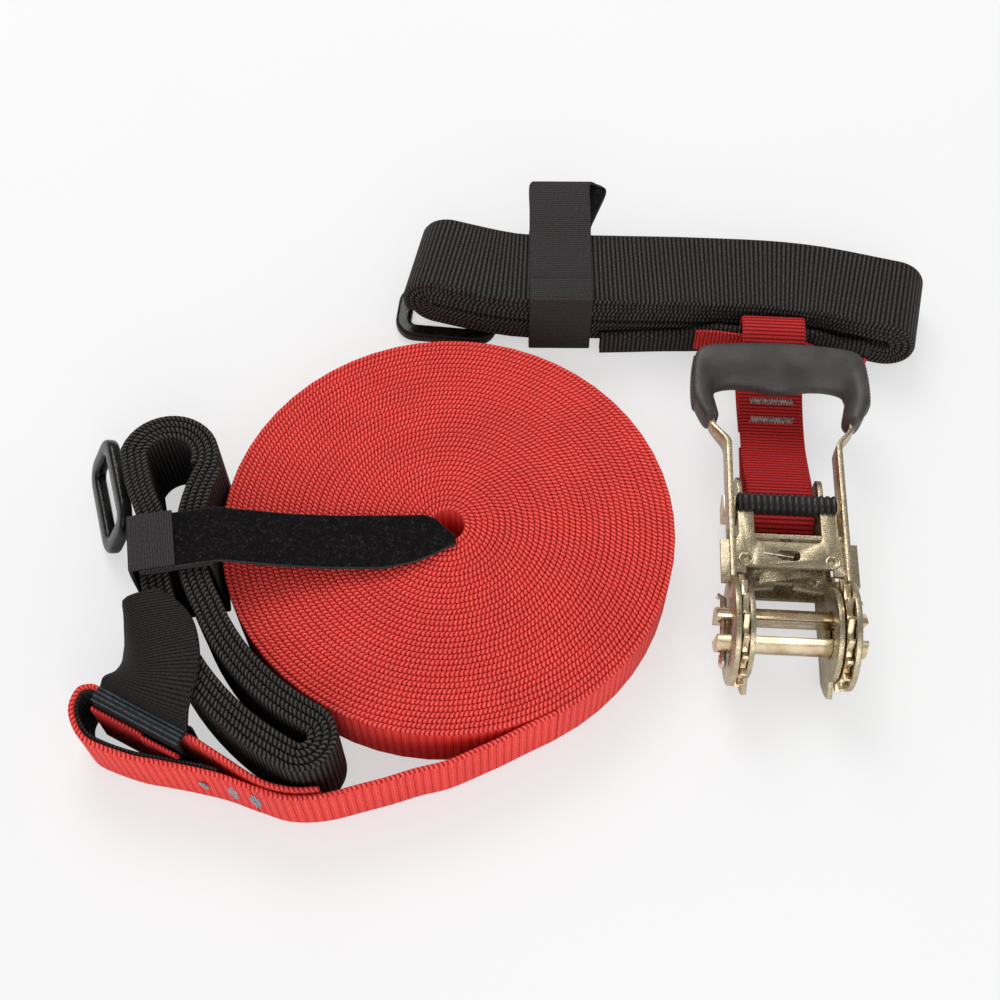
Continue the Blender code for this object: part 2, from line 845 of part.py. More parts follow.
def right_hank_low(share):
    """How high the right hank is held at a share of its run, by its ring and its tie."""
    ring = float(reading(right_hank_shares, right_ring_lift_shares, share)) * (ring_rod + 2 * seat_gap)
    tie = float(reading(right_hank_shares, right_tie_room_shares, share)) * tie_room
    return max(ring, tie)


def right_hank_frame(share):
    """The middle of the right hank seen from above, and the way along it."""
    spots = np.array(route(right_hank_route))

    def spot(at):
        return np.array([float(reading(right_hank_shares, spots[:, axis], at)) for axis in (0, 1)])

    ahead = spot(min(1.0, share + right_hank_ahead_share))
    behind = spot(max(0.0, share - right_hank_ahead_share))
    return spot(share), unit(ahead - behind)


def right_sling_hank(kit, black):
    edge_a = []
    edge_b = []
    path = []
    for share, past, aside in hank_loops(right_hank_loops, sling_pitch, lambda at: right_hank_half):
        middle, along = right_hank_frame(share)
        across = np.array([-along[1], along[0]])
        height = right_hank_low(share) + right_hank_half + sling_thickness / 2 + aside
        spot = middle + along * past
        edge_a.append((*(spot - across * sling_width / 2), height))
        edge_b.append((*(spot + across * sling_width / 2), height))
        path.append((*spot, height))
    skip = hank_skip_share * (len(hank_run_shares) + hank_bend_steps)
    report_gap("right_sling_hank", path, sling_thickness, skip)
    mesh = strip_mesh("right_sling_hank", edge_a, edge_b, sling_thickness)
    place("right_sling_hank", mesh, black, kit)


def right_sling_tie(kit, grey):
    share = right_tie_share
    middle, along = right_hank_frame(share)
    across = np.array([-along[1], along[0]])
    clear = tie_thickness / 2 + seat_gap
    pitch = tie_thickness + layer_gap
    reach = sling_width / 2
    low = tie_room
    high = low + 2 * right_hank_half + sling_thickness
    path = wrap_path(-reach, reach, low, high, clear, reach / 2, 1, pitch)[:-2]
    far = -reach - right_tie_loop
    out = [
        (-reach - pitch, high, 0.0), (-reach - 4 * pitch, high + pitch, right_tie_skew / 3),
        (far, high + pitch, right_tie_skew), (far - pitch, high + 2 * pitch, right_tie_skew / 2),
        (far, high + 3 * pitch, 0.0), (-reach - 4 * pitch, high + tie_top_share * pitch, 0.0),
        (-reach, high + clear + tie_slope_share * pitch, 0.0), (-reach / 2, high + clear, 0.0),
        (reach / 2, high + clear, 0.0), (reach - pitch, high + clear, 0.0),
    ]
    points = curve_through([(*spot, 0.0) for spot in path] + out, tape_steps)
    edge_a = []
    edge_b = []
    for side, height, skew in points:
        centre = middle - across * side + along * skew
        edge_a.append((*(centre - along * tie_width / 2), height))
        edge_b.append((*(centre + along * tie_width / 2), height))
    place("right_sling_tie", strip_mesh("right_sling_tie", edge_a, edge_b, tie_thickness), grey, kit)


def right_sling_eye(kit, black, red):
    """The right sling's end, folded to half its width, bowed out in front of the hank."""
    plan = curve_through(route(right_eye_route), eye_steps)
    at = np.linspace(0.0, 1.0, len(plan))
    raised = strap_thickness + 5 * seat_gap
    low = reading(right_eye_lift_shares, np.array(right_eye_lift_value_shares) * raised, at)
    folded = 2 * sling_thickness
    height = reading(right_eye_height_shares, np.array(right_eye_height_value_shares) * sling_width, at)
    place("right_sling_eye", strip_mesh("right_sling_eye", *upright(plan, low, height), folded), black, kit)
    front = offset_path(plan, folded / 2 + seat_gap + lining_thickness / 2)
    lined = slice(0, right_lining_steps)
    edges = upright(front[lined], low[lined] + right_lining_lift, right_lining_width)
    place("right_sling_eye_lining", strip_mesh("right_sling_eye_lining", *edges, lining_thickness), red, kit)


def sling_ring(name, kit, steel, location, rotation):
    low = (-ring_length / 2, -ring_width / 2)
    high = (ring_length / 2, ring_width / 2)
    inner_low = (low[0] + ring_rod, low[1] + ring_rod)
    inner_high = (high[0] - ring_rod, high[1] - ring_rod)
    outline = rounded_box(low, high, ring_corner_radius, ring_corner_steps)
    hole = rounded_box(inner_low, inner_high, ring_corner_radius - ring_rod, ring_corner_steps)
    mesh = plate_mesh(name, outline, [hole], -ring_rod / 2, ring_rod / 2, FLAT)
    ring = place(name, mesh, steel, kit, smooth=40)
    ring.location = location
    ring.rotation_euler = rotation
    edges = ring.modifiers.new("round_edges", "BEVEL")
    edges.width = ring_edge_radius
    edges.segments = 1
    edges.limit_method = "ANGLE"
    edges.angle_limit = math.radians(50)
    return ring


# Ratchet: X across, Y along towards the grip, Z up

def level(height):
    return axle_height + height


def base_outline():
    """Side of the base frame: the disc round the axle, its stop lobe, and the tail to the bolt."""
    start = math.degrees(math.asin(base_shoulder / base_disc_radius))
    disc = arc((0.0, axle_height), base_disc_radius, start, base_lobe_start, base_disc_steps)
    lobe_stop = 270.0 - math.degrees(math.acos(min(1.0, axle_height / base_lobe_radius)))
    lobe_start = base_lobe_start + base_lobe_step
    lobe = arc((0.0, axle_height), base_lobe_radius, lobe_start, lobe_stop, base_lobe_steps)
    corner = base_corner_radius
    foot = arc((base_length - corner, corner), corner, 270, 360, plate_corner_steps)
    tail = arc((base_length - corner, base_tail_height - corner), corner, 0, 90, plate_corner_steps)
    neck = [(base_disc_radius + corner, base_tail_height + corner / 2)]
    front_foot = [(base_lobe_radius * math.cos(math.radians(lobe_stop)) + corner, 0.0)]
    return disc + lobe + front_foot + foot + tail + neck


def slot_box(start, stop, middle, height):
    return box_points((start, middle - height / 2), (stop, middle + height / 2))


def base_frame(ratchet, zinc):
    """The stamped base: two sides, the web under the strap and the lug of the stop spring."""
    bore = ring_points((0.0, axle_height), drum_radius + running_gap, circle_steps)
    bolt_hole = ring_points((bolt_at, bolt_height), bolt_radius + seat_gap, small_circle_steps)
    slot_height = pawl_plate + 2 * running_gap
    stop_slot = slot_box(
        pawl_tip_rest - pawl_bite - running_gap,
        pawl_tip_rest + stop_wing_length + stop_pull + running_gap,
        level(-pawl_lift),
        slot_height,
    )
    sides = []
    for name, sign in (("base_frame", -1.0), ("base_other_side", 1.0)):
        low = sign * base_side - base_plate / 2
        mesh = plate_mesh(name, base_outline(), [bore, bolt_hole, stop_slot], low, low + base_plate, SIDE)
        sides.append(place(name, mesh, zinc, ratchet, smooth=30))
    frame, other = sides
    reach = base_side
    web = block(
        "base_web", (-reach, base_web_start, base_web_lift),
        (reach, base_length - base_corner_radius, base_web_lift + base_web_plate), ratchet, zinc,
    )
    lug_top = level(-pawl_lift) + stop_spring_radius
    tongue_hole = box_points(
        (-stop_tongue_width / 2 - running_gap, level(-pawl_lift) - slot_height / 2),
        (stop_tongue_width / 2 + running_gap, level(-pawl_lift) + slot_height / 2),
    )
    lug_low = (-base_lug_width / 2, base_web_lift)
    lug_high = (base_lug_width / 2, lug_top)
    lug_outline = box_points(lug_low, lug_high)
    lug_mesh = plate_mesh("base_lug", lug_outline, [tongue_hole], base_lug_at, base_lug_at + base_web_plate, CROSS)
    lug = place("base_lug", lug_mesh, zinc, ratchet)
    fuse(web, lug)
    fuse(frame, web)
    fuse(frame, other)
    return frame


def hexagon(centre, flats):
    radius = flats / 2 / math.cos(math.pi / 6)
    return arc(centre, radius, 0.0, 360.0, 6)[:-1]


def strap_bolt(ratchet, zinc):
    centre = (bolt_at, bolt_height)
    outer = base_side + base_plate / 2
    shank_end = outer + seat_gap + nut_hex_height + nut_collar_height
    shank_outline = ring_points(centre, bolt_radius, bolt_steps)
    shank = plate_mesh("strap_bolt", shank_outline, [], -outer - seat_gap, shank_end, SIDE)
    bolt = place("strap_bolt", shank, zinc, ratchet, smooth=30)
    low = -outer - seat_gap - bolt_head_height
    head_mesh = plate_mesh("bolt_head", hexagon(centre, bolt_head_flats), [], low, low + bolt_head_height, SIDE)
    fuse(bolt, place("bolt_head", head_mesh, zinc, ratchet))
    hole = ring_points(centre, bolt_radius + thread_gap, bolt_steps)
    start = outer + seat_gap
    nut_mesh = plate_mesh(
        "strap_bolt_nut", hexagon(centre, nut_flats), [hole], start, start + nut_hex_height, SIDE,
    )
    nut = place("strap_bolt_nut", nut_mesh, zinc, ratchet)
    collar_outline = ring_points(centre, nut_flats / 2 - seat_gap, bolt_steps)
    collar_mesh = plate_mesh(
        "nut_collar", collar_outline, [hole], start + nut_hex_height - seat_gap,
        start + nut_hex_height + nut_collar_height, SIDE,
    )
    fuse(nut, place("nut_collar", collar_mesh, zinc, ratchet, smooth=30))


def stop_pawl(ratchet, zinc):
    """The lower pawl: its tips reach through the base's slots to the wheels."""
    inner = clear_width / 2 - running_gap
    tip = pawl_tip_rest
    wing = wheel_side + wheel_plate / 2 + running_gap / 2
    back = tip + stop_body_length
    tongue = stop_tongue_width / 2
    tongue_end = base_lug_at + base_web_plate + stop_pull / 2 + seat_gap
    notch = stop_notch_width / 2
    half = [
        (notch, tip + stop_notch_depth),
        (notch, tip + pawl_tip_width / 2),
        (inner, tip),
        (wing, tip),
        (wing, tip + stop_wing_length),
        (inner, tip + stop_wing_length),
        (inner, back),
        (tongue, back),
        (tongue, tongue_end),
    ]
    outline = half + [(-x, y) for x, y in reversed(half)]
    dimple = (inner * stop_dimple_share, tip + pawl_tip_width * stop_dimple_setback_share)
    holes = [ring_points((sign * dimple[0], dimple[1]), pawl_dimple, dimple_steps) for sign in (1, -1)]
    middle = level(-pawl_lift)
    mesh = plate_mesh("stop_pawl", outline, holes, middle - pawl_plate / 2, middle + pawl_plate / 2, FLAT)
    place("stop_pawl", mesh, zinc, ratchet)


def coil_spring(name, ratchet, steel, start, stop, height, radius):
    """A compression spring along the ratchet."""
    points = []
    steps = spring_turns * spring_turn_steps
    low = start + seat_gap + spring_wire / 2
    high = stop - seat_gap - spring_wire / 2
    for step in range(steps + 1):
        angle = 2 * math.pi * spring_turns * step / steps
        along = low + (high - low) * step / steps
        points.append((radius * math.cos(angle), along, height + radius * math.sin(angle)))
    report_gap(name, points, spring_wire, gap_skip_steps)
    wire(name, points, spring_wire / 2, steel, ratchet)


def wheel_outline():
    """Saw teeth, with a gap of the pawls' width at one tooth above and below the axle's level."""
    pitch = 360.0 / wheel_teeth
    root = wheel_radius - tooth_depth
    points = []
    for tooth in range(wheel_teeth):
        start = (tooth - tooth_phase_share) * pitch
        for radius, share in (
            (root, 0.0), (wheel_radius, 0.0), (wheel_radius, tooth_land_share), (root, tooth_slope_share),
        ):
            angle = math.radians(start + share * pitch)
            points.append((radius * math.cos(angle), axle_height + radius * math.sin(angle)))
    return points


def turned(points, angle):
    """Points of the drum's side view, turned about the axle."""
    out = []
    for y, z in points:
        z -= axle_height
        out.append((
            y * math.cos(angle) - z * math.sin(angle),
            axle_height + y * math.sin(angle) + z * math.cos(angle),
        ))
    return out


def drum_half_outline(radius, slot, sign):
    reach = math.degrees(math.acos(slot / 2 / radius))
    middle = 0.0 if sign > 0 else 180.0
    return turned(arc((0.0, axle_height), radius, middle - reach, middle + reach, drum_steps), drum_turn)


def drum_half(name, drum, steel, sign):
    """Half of the slotted winding bar, drilled for the cotters."""
    reach = handle_outer + drum_end_reach
    outline = drum_half_outline(drum_radius, drum_slot, sign)
    bar = place(name, plate_mesh(name, outline, [], -reach, reach, SIDE), steel, drum, smooth=30)
    for index, side in enumerate((-1.0, 1.0)):
        across = cotter_place(side)
        bore = plate_mesh(
            f"{name}_bore_{index}", ring_points((across, 0.0), cotter_radius + running_gap, bore_steps), [],
            -drum_radius - cut_overrun, drum_radius + cut_overrun, FLAT,
        )
        helper = place(f"{name}_bore_{index}", bore, steel, drum)
        helper.location = (0.0, 0.0, axle_height)
        helper.rotation_euler = (drum_turn - math.pi / 2, 0.0, 0.0)
        cut(bar, helper)


def cotter_place(side):
    return side * (handle_outer + running_gap + cotter_radius + running_gap)


def cotter_pin(name, drum, steel, side):
    """A split pin seen as one wire: its eye on one side of the drum and its bent tip on the other."""
    along = np.array([0.0, math.cos(drum_turn), math.sin(drum_turn)])
    aside = np.array([0.0, -math.sin(drum_turn), math.cos(drum_turn)])
    centre = np.array([cotter_place(side), 0.0, axle_height])
    tip = centre + along * (drum_radius + cotter_reach)
    bent = tip + np.array([side * cotter_lift, 0.0, 0.0]) + along * cotter_radius
    neck = centre - along * (drum_radius + seat_gap)
    eye_centre = neck - along * cotter_neck - aside * cotter_eye_radius
    points = [bent, tip, centre, neck]
    for step in range(cotter_eye_steps + 1):
        angle = cotter_eye_start + (cotter_eye_stop - cotter_eye_start) * step / cotter_eye_steps
        reach = along * math.cos(angle) + aside * math.sin(angle)
        points.append(eye_centre + reach * cotter_eye_radius)
    wire(name, points, cotter_radius, steel, drum)


def ratchet_wheel(name, drum, zinc, side):
    gap = seat_gap / 2
    holes = [drum_half_outline(drum_radius + gap, drum_slot - 2 * gap, sign) for sign in (1, -1)]
    low = side * wheel_side - wheel_plate / 2
    place(name, plate_mesh(name, wheel_outline(), holes, low, low + wheel_plate, SIDE), zinc, drum)


def arm_outline():
    start = math.degrees(math.asin((handle_arm_top - axle_height) / handle_disc_radius))
    stop = 360.0 + math.degrees(math.asin((handle_arm_bottom - axle_height) / handle_disc_radius))
    disc = arc((0.0, axle_height), handle_disc_radius, start, stop - handle_neck_angle, handle_disc_steps)
    neck = [(handle_disc_radius + handle_neck, handle_arm_bottom)]
    taper = handle_bend_end
    middle = grip_height
    end_half = handle_tang_height / 2
    tang = [
        (taper, middle - end_half), (handle_arm_end, middle - end_half),
        (handle_arm_end, middle + end_half), (taper, middle + end_half),
    ]
    bend = [(handle_bend_start, handle_arm_bottom)]
    top = [(handle_bend_start, handle_arm_top)]
    return disc + neck + bend + tang + top


def bend_out(mesh, sign):
    """Bends the arm's far end outwards to the grip's leg."""
    bm = bmesh.new()
    bm.from_mesh(mesh)
    spread = grip_leg_tip - handle_side
    for step in range(handle_bend_steps + 1):
        at = handle_bend_start + (handle_bend_end - handle_bend_start) * step / handle_bend_steps
        geometry = list(bm.verts) + list(bm.edges) + list(bm.faces)
        bmesh.ops.bisect_plane(bm, geom=geometry, plane_co=(0.0, at, 0.0), plane_no=(0.0, 1.0, 0.0))
    for vert in bm.verts:
        share = (vert.co.y - handle_bend_start) / (handle_bend_end - handle_bend_start)
        share = min(1.0, max(0.0, share))
        vert.co.x += sign * spread * share * share * (3.0 - 2.0 * share)
    bmesh.ops.triangulate(bm, faces=bm.faces)
    bm.to_mesh(mesh)
    bm.free()


def handle_frame(handle, zinc):
    """The stamped handle: two arms with their discs, joined by the web behind the release pawl."""
    bore = ring_points((0.0, axle_height), drum_radius + running_gap, circle_steps)
    slot = slot_box(
        pawl_tip_rest - pawl_bite - running_gap + release_wing_setback,
        pawl_tip_rest + release_wing_setback + release_wing_length + release_pull + running_gap,
        level(pawl_lift),
        pawl_plate + 2 * running_gap,
    )
    arms = []
    for name, sign in (("handle_frame", -1.0), ("handle_other_arm", 1.0)):
        low = sign * handle_side - handle_plate / 2
        mesh = plate_mesh(name, arm_outline(), [bore, slot], low, low + handle_plate, SIDE)
        bend_out(mesh, sign)
        arms.append(place(name, mesh, zinc, handle, smooth=30))
    frame, other = arms
    web_top = level(pawl_lift) - pawl_plate / 2 - running_gap
    web = block(
        "handle_web", (-handle_side, handle_web_at, handle_arm_bottom + seat_gap),
        (handle_side, handle_web_at + handle_web_plate, web_top), handle, zinc,
    )
    fuse(frame, web)
    fuse(frame, other)


def grip_path():
    """The grip's middle line from one leg's end over the bar to the other, with its half widths."""
    corner = grip_corner_radius
    knee = grip_leg_start + grip_leg_taper
    half = [(grip_leg_tip, grip_leg_start), ((grip_leg_tip + grip_half_width) / 2, (grip_leg_start + knee) / 2)]
    half += [(grip_half_width, knee + grip_leg_inset)]
    half += arc((grip_half_width - corner, grip_bar_at - corner), corner, 0, 90, grip_corner_steps)
    half += [(share * (grip_half_width - corner), grip_bar_at) for share in grip_bar_shares]
    widths = [grip_tip_half, (grip_tip_half + grip_leg_half) / 2, grip_leg_half]
    for step in range(grip_corner_steps + 1):
        widths.append(grip_leg_half + (grip_bar_half - grip_leg_half) * step / grip_corner_steps)
    widths += [grip_bar_half * share for share in grip_bar_half_shares]
    widths.append(grip_bar_half + grip_peak)
    points = half + [(-x, y) for x, y in reversed(half[:-1])]
    return np.array(points), np.array(widths + widths[-2::-1])


def handle_grip(handle, plastic):
    """The moulded grip: a bowed bar and two legs, with sockets for the arms' tangs."""
    path, widths = grip_path()
    dense = curve_through(np.column_stack([path, widths]), grip_steps)
    points = dense[:, :2]
    widths = dense[:, 2]
    along = unit(np.gradient(points, axis=0))
    side = np.column_stack([-along[:, 1], along[:, 0]])
    sections = []
    for point, width, across in zip(points, widths, side):
        ring = []
        for step in range(grip_sides):
            angle = 2 * math.pi * step / grip_sides
            wide = math.copysign(abs(math.cos(angle)) ** grip_round_share, math.cos(angle)) * width
            tall = math.copysign(abs(math.sin(angle)) ** grip_round_share, math.sin(angle)) * grip_half_height
            ring.append((*(point + across * wide), grip_height + tall))
        sections.append(ring)
    grip = place("handle_grip", tube_mesh("handle_grip", sections), plastic, handle, smooth=50)
    for name, sign in (("left_socket", -1.0), ("right_socket", 1.0)):
        low = sign * grip_leg_tip - handle_plate / 2 - seat_gap
        half = handle_tang_height / 2 + seat_gap
        socket = block(
            name, (low, grip_leg_start - 2 * cut_overrun, grip_height - half),
            (low + handle_plate + 2 * seat_gap, handle_arm_end + seat_gap, grip_height + half), handle, plastic,
        )
        cut(grip, socket)


def release_pawl(release, zinc):
    """The upper pawl: a sliding plate with two tips, side wings through the arms and a window for the strap."""
    tip = pawl_tip_rest
    inner = handle_inner - running_gap
    body = release_body_width
    wing_start = tip + release_wing_setback
    wing_stop = wing_start + release_wing_length
    wing = handle_outer + pawl_wing_reach
    recess = release_recess_width / 2
    half = [
        (recess, tip + pawl_tip_width),
        (wheel_side - wheel_plate, tip + pawl_tip_width),
        (wheel_side - wheel_plate, tip),
        (inner, tip),
        (inner, wing_start),
        (wing, wing_start),
        (wing, wing_stop),
        (inner, wing_stop),
        (body, wing_stop + pawl_tip_width),
        (body, release_far_edge),
    ]
    outline = half + [(-x, y) for x, y in reversed(half)]
    window = rounded_box(
        (-release_window_width, release_window_start), (release_window_width, release_bar_start), pawl_plate,
        corner_steps,
    )
    slot = rounded_box(
        (-release_tab_width / 2, release_tab_at), (release_tab_width / 2, release_tab_at + release_slot),
        pawl_plate, corner_steps,
    )
    holes = [window, slot]
    for sign in (1, -1):
        holes.append(ring_points((sign * release_dimple_x, release_tab_at), pawl_dimple, dimple_steps))
    middle = level(pawl_lift)
    bottom = middle - pawl_plate / 2
    mesh = plate_mesh("release_pawl", outline, holes, bottom, bottom + pawl_plate, FLAT)
    pawl = place("release_pawl", mesh, zinc, release)
    tab_half = release_tab_width / 2 - pawl_plate
    tab = block(
        "release_tab", (-tab_half, release_tab_at - pawl_plate, handle_arm_bottom + seat_gap),
        (tab_half, release_tab_at - seat_gap, middle), release, zinc,
    )
    fuse(pawl, tab)


def release_pawl_grip(release, plastic):
    """The ribbed finger grip, slotted over the pawl's far bar."""
    half_length = release_body_width + grip_end_cover
    stations = []
    last = rib_steps * release_grip_ribs
    for step in range(last + 1):
        across = -half_length + 2 * half_length * step / last
        valley = step % rib_steps in (0, 1)
        end = step in (0, last)
        depth = release_rib_depth if valley else 0.0
        if end:
            depth = 2 * release_rib_depth
        stations.append((across, depth))
    middle_y = release_grip_start + release_grip_length / 2
    middle_z = level(pawl_lift)
    sections = []
    for across, depth in stations:
        low = (middle_y - release_grip_length / 2 + depth, middle_z - release_grip_height / 2 + depth)
        high = (middle_y + release_grip_length / 2 - depth, middle_z + release_grip_height / 2 - depth)
        corner = (high[1] - low[1]) * release_round_share
        sections.append([(across, y, z) for y, z in rounded_box(low, high, corner, 1)])
    mesh = tube_mesh("release_pawl_grip", sections)
    grip = place("release_pawl_grip", mesh, plastic, release)
    slot = block(
        "grip_slot",
        (-half_length - cut_overrun, release_grip_start - cut_overrun, middle_z - pawl_plate / 2 - seat_gap),
        (half_length + cut_overrun, release_far_edge + seat_gap, middle_z + pawl_plate / 2 + seat_gap),
        release, plastic,
    )
    cut(grip, slot)


def ratchet_strap(ratchet, red):
    """The short red strap: a loop round the bolt, sewn flat, and a loop round the sling's eye."""
    points = curve_through(route(strap_route), tape_steps)
    edge_a = [(-strap_width / 2, y, z) for y, z in points]
    edge_b = [(strap_width / 2, y, z) for y, z in points]
    report_gap("ratchet_strap", points, strap_thickness, gap_skip_steps)
    place("ratchet_strap", strip_mesh("ratchet_strap", edge_a, edge_b, strap_thickness), red, ratchet)


def main():
    clear_scene()
    red = finish("red_webbing", (0.62, 0.02, 0.025), 0.85)
    black = finish("black_webbing", (0.022, 0.021, 0.02), 0.85)
    grey = finish("tie_tape", (0.06, 0.062, 0.068), 0.8)
    ring_steel = finish("black_steel", (0.02, 0.018, 0.017), 0.25, 0.5)
    zinc = finish("zinc_plate", (0.62, 0.55, 0.38), 0.35, 0.9)
    spring_steel = finish("spring_steel", (0.6, 0.58, 0.52), 0.3, 0.9)
    plastic = finish("black_plastic", (0.03, 0.031, 0.033), 0.45)
    kit = empty("kit", (coil_x, coil_y, 0.0))
    coil = line_coil(kit, red)
    tail = line_tail(kit, red, coil)
    line_eye(kit, red, black, tail)
    left_sling_hank(kit, black)
    left_sling_tie(kit, grey)
    left_sling_eye(kit, black, red)
    right_sling_hank(kit, black)
    right_sling_tie(kit, grey)
    right_sling_eye(kit, black, red)
    sling_ring("left_sling_ring", kit, ring_steel, left_ring_place, left_ring_turn)
    sling_ring("right_sling_ring", kit, ring_steel, right_ring_place, right_ring_turn)
    ratchet = empty("ratchet", (ratchet_x, ratchet_y, 0.0), kit, ratchet_turn)
    base_frame(ratchet, zinc)
    strap_bolt(ratchet, zinc)
    ratchet_strap(ratchet, red)
    stop = empty("stop_axis", (0.0, 0.0, level(-pawl_lift)), ratchet)
    stop_pawl(stop, zinc)
    stop_back = pawl_tip_rest + stop_body_length
    stop_spring = (stop_back, base_lug_at, level(-pawl_lift))
    coil_spring("stop_pawl_spring", stop, spring_steel, *stop_spring, stop_spring_radius)
    settle(stop, stop.location)
    drum = empty("drum_axis", (0.0, 0.0, axle_height), ratchet)
    drum_half("drum_front_half", drum, zinc, -1)
    drum_half("drum_rear_half", drum, zinc, 1)
    ratchet_wheel("left_ratchet_wheel", drum, zinc, -1)
    ratchet_wheel("right_ratchet_wheel", drum, zinc, 1)
    cotter_pin("left_cotter_pin", drum, spring_steel, -1)
    cotter_pin("right_cotter_pin", drum, spring_steel, 1)
    settle(drum, drum.location)
    handle = empty("handle_axis", (0.0, 0.0, axle_height), ratchet)
    handle_frame(handle, zinc)
    handle_grip(handle, plastic)
    settle(handle, handle.location)
    release = empty("release_axis", (0.0, 0.0, pawl_lift), handle)
    release_pawl(release, zinc)
    release_pawl_grip(release, plastic)
    spring_height = (handle_arm_bottom + level(pawl_lift) - pawl_plate / 2) / 2
    release_run = (release_tab_at, handle_web_at, spring_height)
    coil_spring("release_spring", release, spring_steel, *release_run, release_spring_radius)
    settle(release, handle.location + release.location)


main()
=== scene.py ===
"""Metres, +Z up, in the frame of the solids. The tables of routes are in millimetres
and degrees, and follow the routes of the solids.
"""

import json
import math

import bmesh
import bpy
import numpy as np
from bpy.props import FloatProperty, FloatVectorProperty, IntProperty, PointerProperty
from mathutils import Euler, Matrix, Vector


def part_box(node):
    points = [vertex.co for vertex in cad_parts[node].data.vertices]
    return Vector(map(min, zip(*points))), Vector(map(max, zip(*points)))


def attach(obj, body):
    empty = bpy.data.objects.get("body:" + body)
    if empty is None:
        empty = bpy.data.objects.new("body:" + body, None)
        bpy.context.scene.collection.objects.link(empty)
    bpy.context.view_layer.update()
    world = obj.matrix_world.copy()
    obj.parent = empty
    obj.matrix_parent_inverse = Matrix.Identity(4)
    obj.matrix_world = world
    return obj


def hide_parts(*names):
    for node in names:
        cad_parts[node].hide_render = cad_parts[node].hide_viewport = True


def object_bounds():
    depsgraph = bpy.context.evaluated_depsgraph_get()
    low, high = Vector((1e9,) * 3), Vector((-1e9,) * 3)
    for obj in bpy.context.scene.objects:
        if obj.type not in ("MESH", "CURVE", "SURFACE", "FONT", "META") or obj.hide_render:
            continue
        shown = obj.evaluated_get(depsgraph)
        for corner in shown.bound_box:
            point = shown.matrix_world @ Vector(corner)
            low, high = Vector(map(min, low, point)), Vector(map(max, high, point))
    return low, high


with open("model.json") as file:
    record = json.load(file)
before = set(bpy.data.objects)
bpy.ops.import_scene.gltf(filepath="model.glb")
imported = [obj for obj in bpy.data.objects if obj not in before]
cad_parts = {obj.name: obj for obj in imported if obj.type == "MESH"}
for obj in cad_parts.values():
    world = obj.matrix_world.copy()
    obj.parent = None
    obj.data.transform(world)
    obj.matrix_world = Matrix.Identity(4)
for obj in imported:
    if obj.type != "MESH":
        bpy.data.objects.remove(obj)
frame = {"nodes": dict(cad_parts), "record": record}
CAD_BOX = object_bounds()

bl_info = {
    "name": "Slackline kit",
    "version": (1, 0, 0),
    "blender": (4, 5, 0),
    "location": "View3D > Sidebar > Slackline",
    "description": "Makes the webbing, the slings, the ratchet's finish and the stage of a slackline kit",
    "category": "Object",
}

MM = 0.001
BODIES = {node: body for body, nodes in frame["record"]["behaviour"]["bodies"].items() for node in nodes}

# Where the coil and the ratchet lie
COIL_PLACE = np.array((-26.9, -27.2, 0.0)) * MM
RATCHET_PLACE = np.array((120.5, -41.3, 0.0)) * MM
RATCHET_TURN = math.radians(-3.0)

# Fits between pieces
SEAT_GAP = 0.3 * MM
LAYER_GAP = 0.5 * MM

# Lengthwise lines of a strip that lies flat, and steps in each span of a strip's route
LYING_LINES = 7
TAIL_STEPS = 12
TAIL_STEPS_AT_EYE = 4
EYE_STEPS = 8
BAND_STEPS = 6
BAND_LINES = 5
TIE_STEPS = 6
SLING_STEPS = 8
STRAP_STEPS = 7
STRAP_TOP_STEPS = 6


# Settings


def length(name, description, millimetres):
    return FloatProperty(name=name, description=description, default=millimetres * MM, unit="LENGTH")


def tint(name, description, value):
    return FloatVectorProperty(name=name, description=description, default=value, subtype="COLOR")


def number(name, description, value, kind="NONE"):
    return FloatProperty(name=name, description=description, default=value, unit=kind)


class LineSettings(bpy.types.PropertyGroup):
    """Sizes and colours of the red line."""

    width: length("Line width", "Width of the flat line", 25.0)
    thickness: length("Thickness", "Thickness of the line", 2.0)
    coil_radius: length("Coil radius", "Outer radius of the coil", 83.0)
    bore_radius: length("Bore radius", "Radius of the coil's first turn", 5.6)
    turns: IntProperty(name="Coil turns", description="Turns of line in the coil", default=36, min=1)
    steps: IntProperty(name="Steps", description="Points on each turn of the coil", default=56, min=12)
    unevenness: length("Unevenness", "How far a turn stands above its neighbour", 0.5)
    # The valley colour is painted shade between the yarns, and the crest colour a painted highlight on their
    # tops
    shaded_valley: tint("Valley colour", "Colour between the yarns", (0.34, 0.010, 0.008))
    body: tint("Body colour", "Colour of the yarns", (0.74, 0.043, 0.037))
    lit_crest: tint("Crest colour", "Colour of the yarns' tops", (1.0, 0.14, 0.118))


class SlingSettings(bpy.types.PropertyGroup):
    """Sizes and colours of the black slings."""

    width: length("Sling width", "Width of the slings", 35.0)
    thickness: length("Thickness", "Thickness of the slings", 2.44)
    solid_thickness: length("Solid thickness", "Thickness that the slings' routes are laid out for", 2.0)
    pitch: length("Layer pitch", "From one layer of a hank to the next", 2.53)
    left_loops: number("Left loops", "Loops in the left hank", 4.0)
    right_loops: number("Right loops", "Loops in the right hank", 4.2)
    # The valley colour is painted shade between the ribs, and the crest colour a painted highlight on their
    # tops
    shaded_valley: tint("Valley colour", "Colour between the ribs", (0.0024, 0.0020, 0.0018))
    body: tint("Body colour", "Colour of the ribs", (0.017, 0.0150, 0.0142))
    lit_crest: tint("Crest colour", "Colour of the ribs' tops", (0.090, 0.080, 0.075))


class TieSettings(bpy.types.PropertyGroup):
    """Sizes and colours of the hook and loop ties."""

    width: length("Tie width", "Width of the right tie", 25.0)
    left_width: length("Left tie width", "Width of the left tie", 22.0)
    thickness: length("Thickness", "Thickness of the ties", 1.4)
    woven: tint("Woven colour", "Colour of the woven side", (0.036, 0.033, 0.033))
    fuzzy: tint("Fuzzy colour", "Colour of the looped side", (0.009, 0.0075, 0.0075))


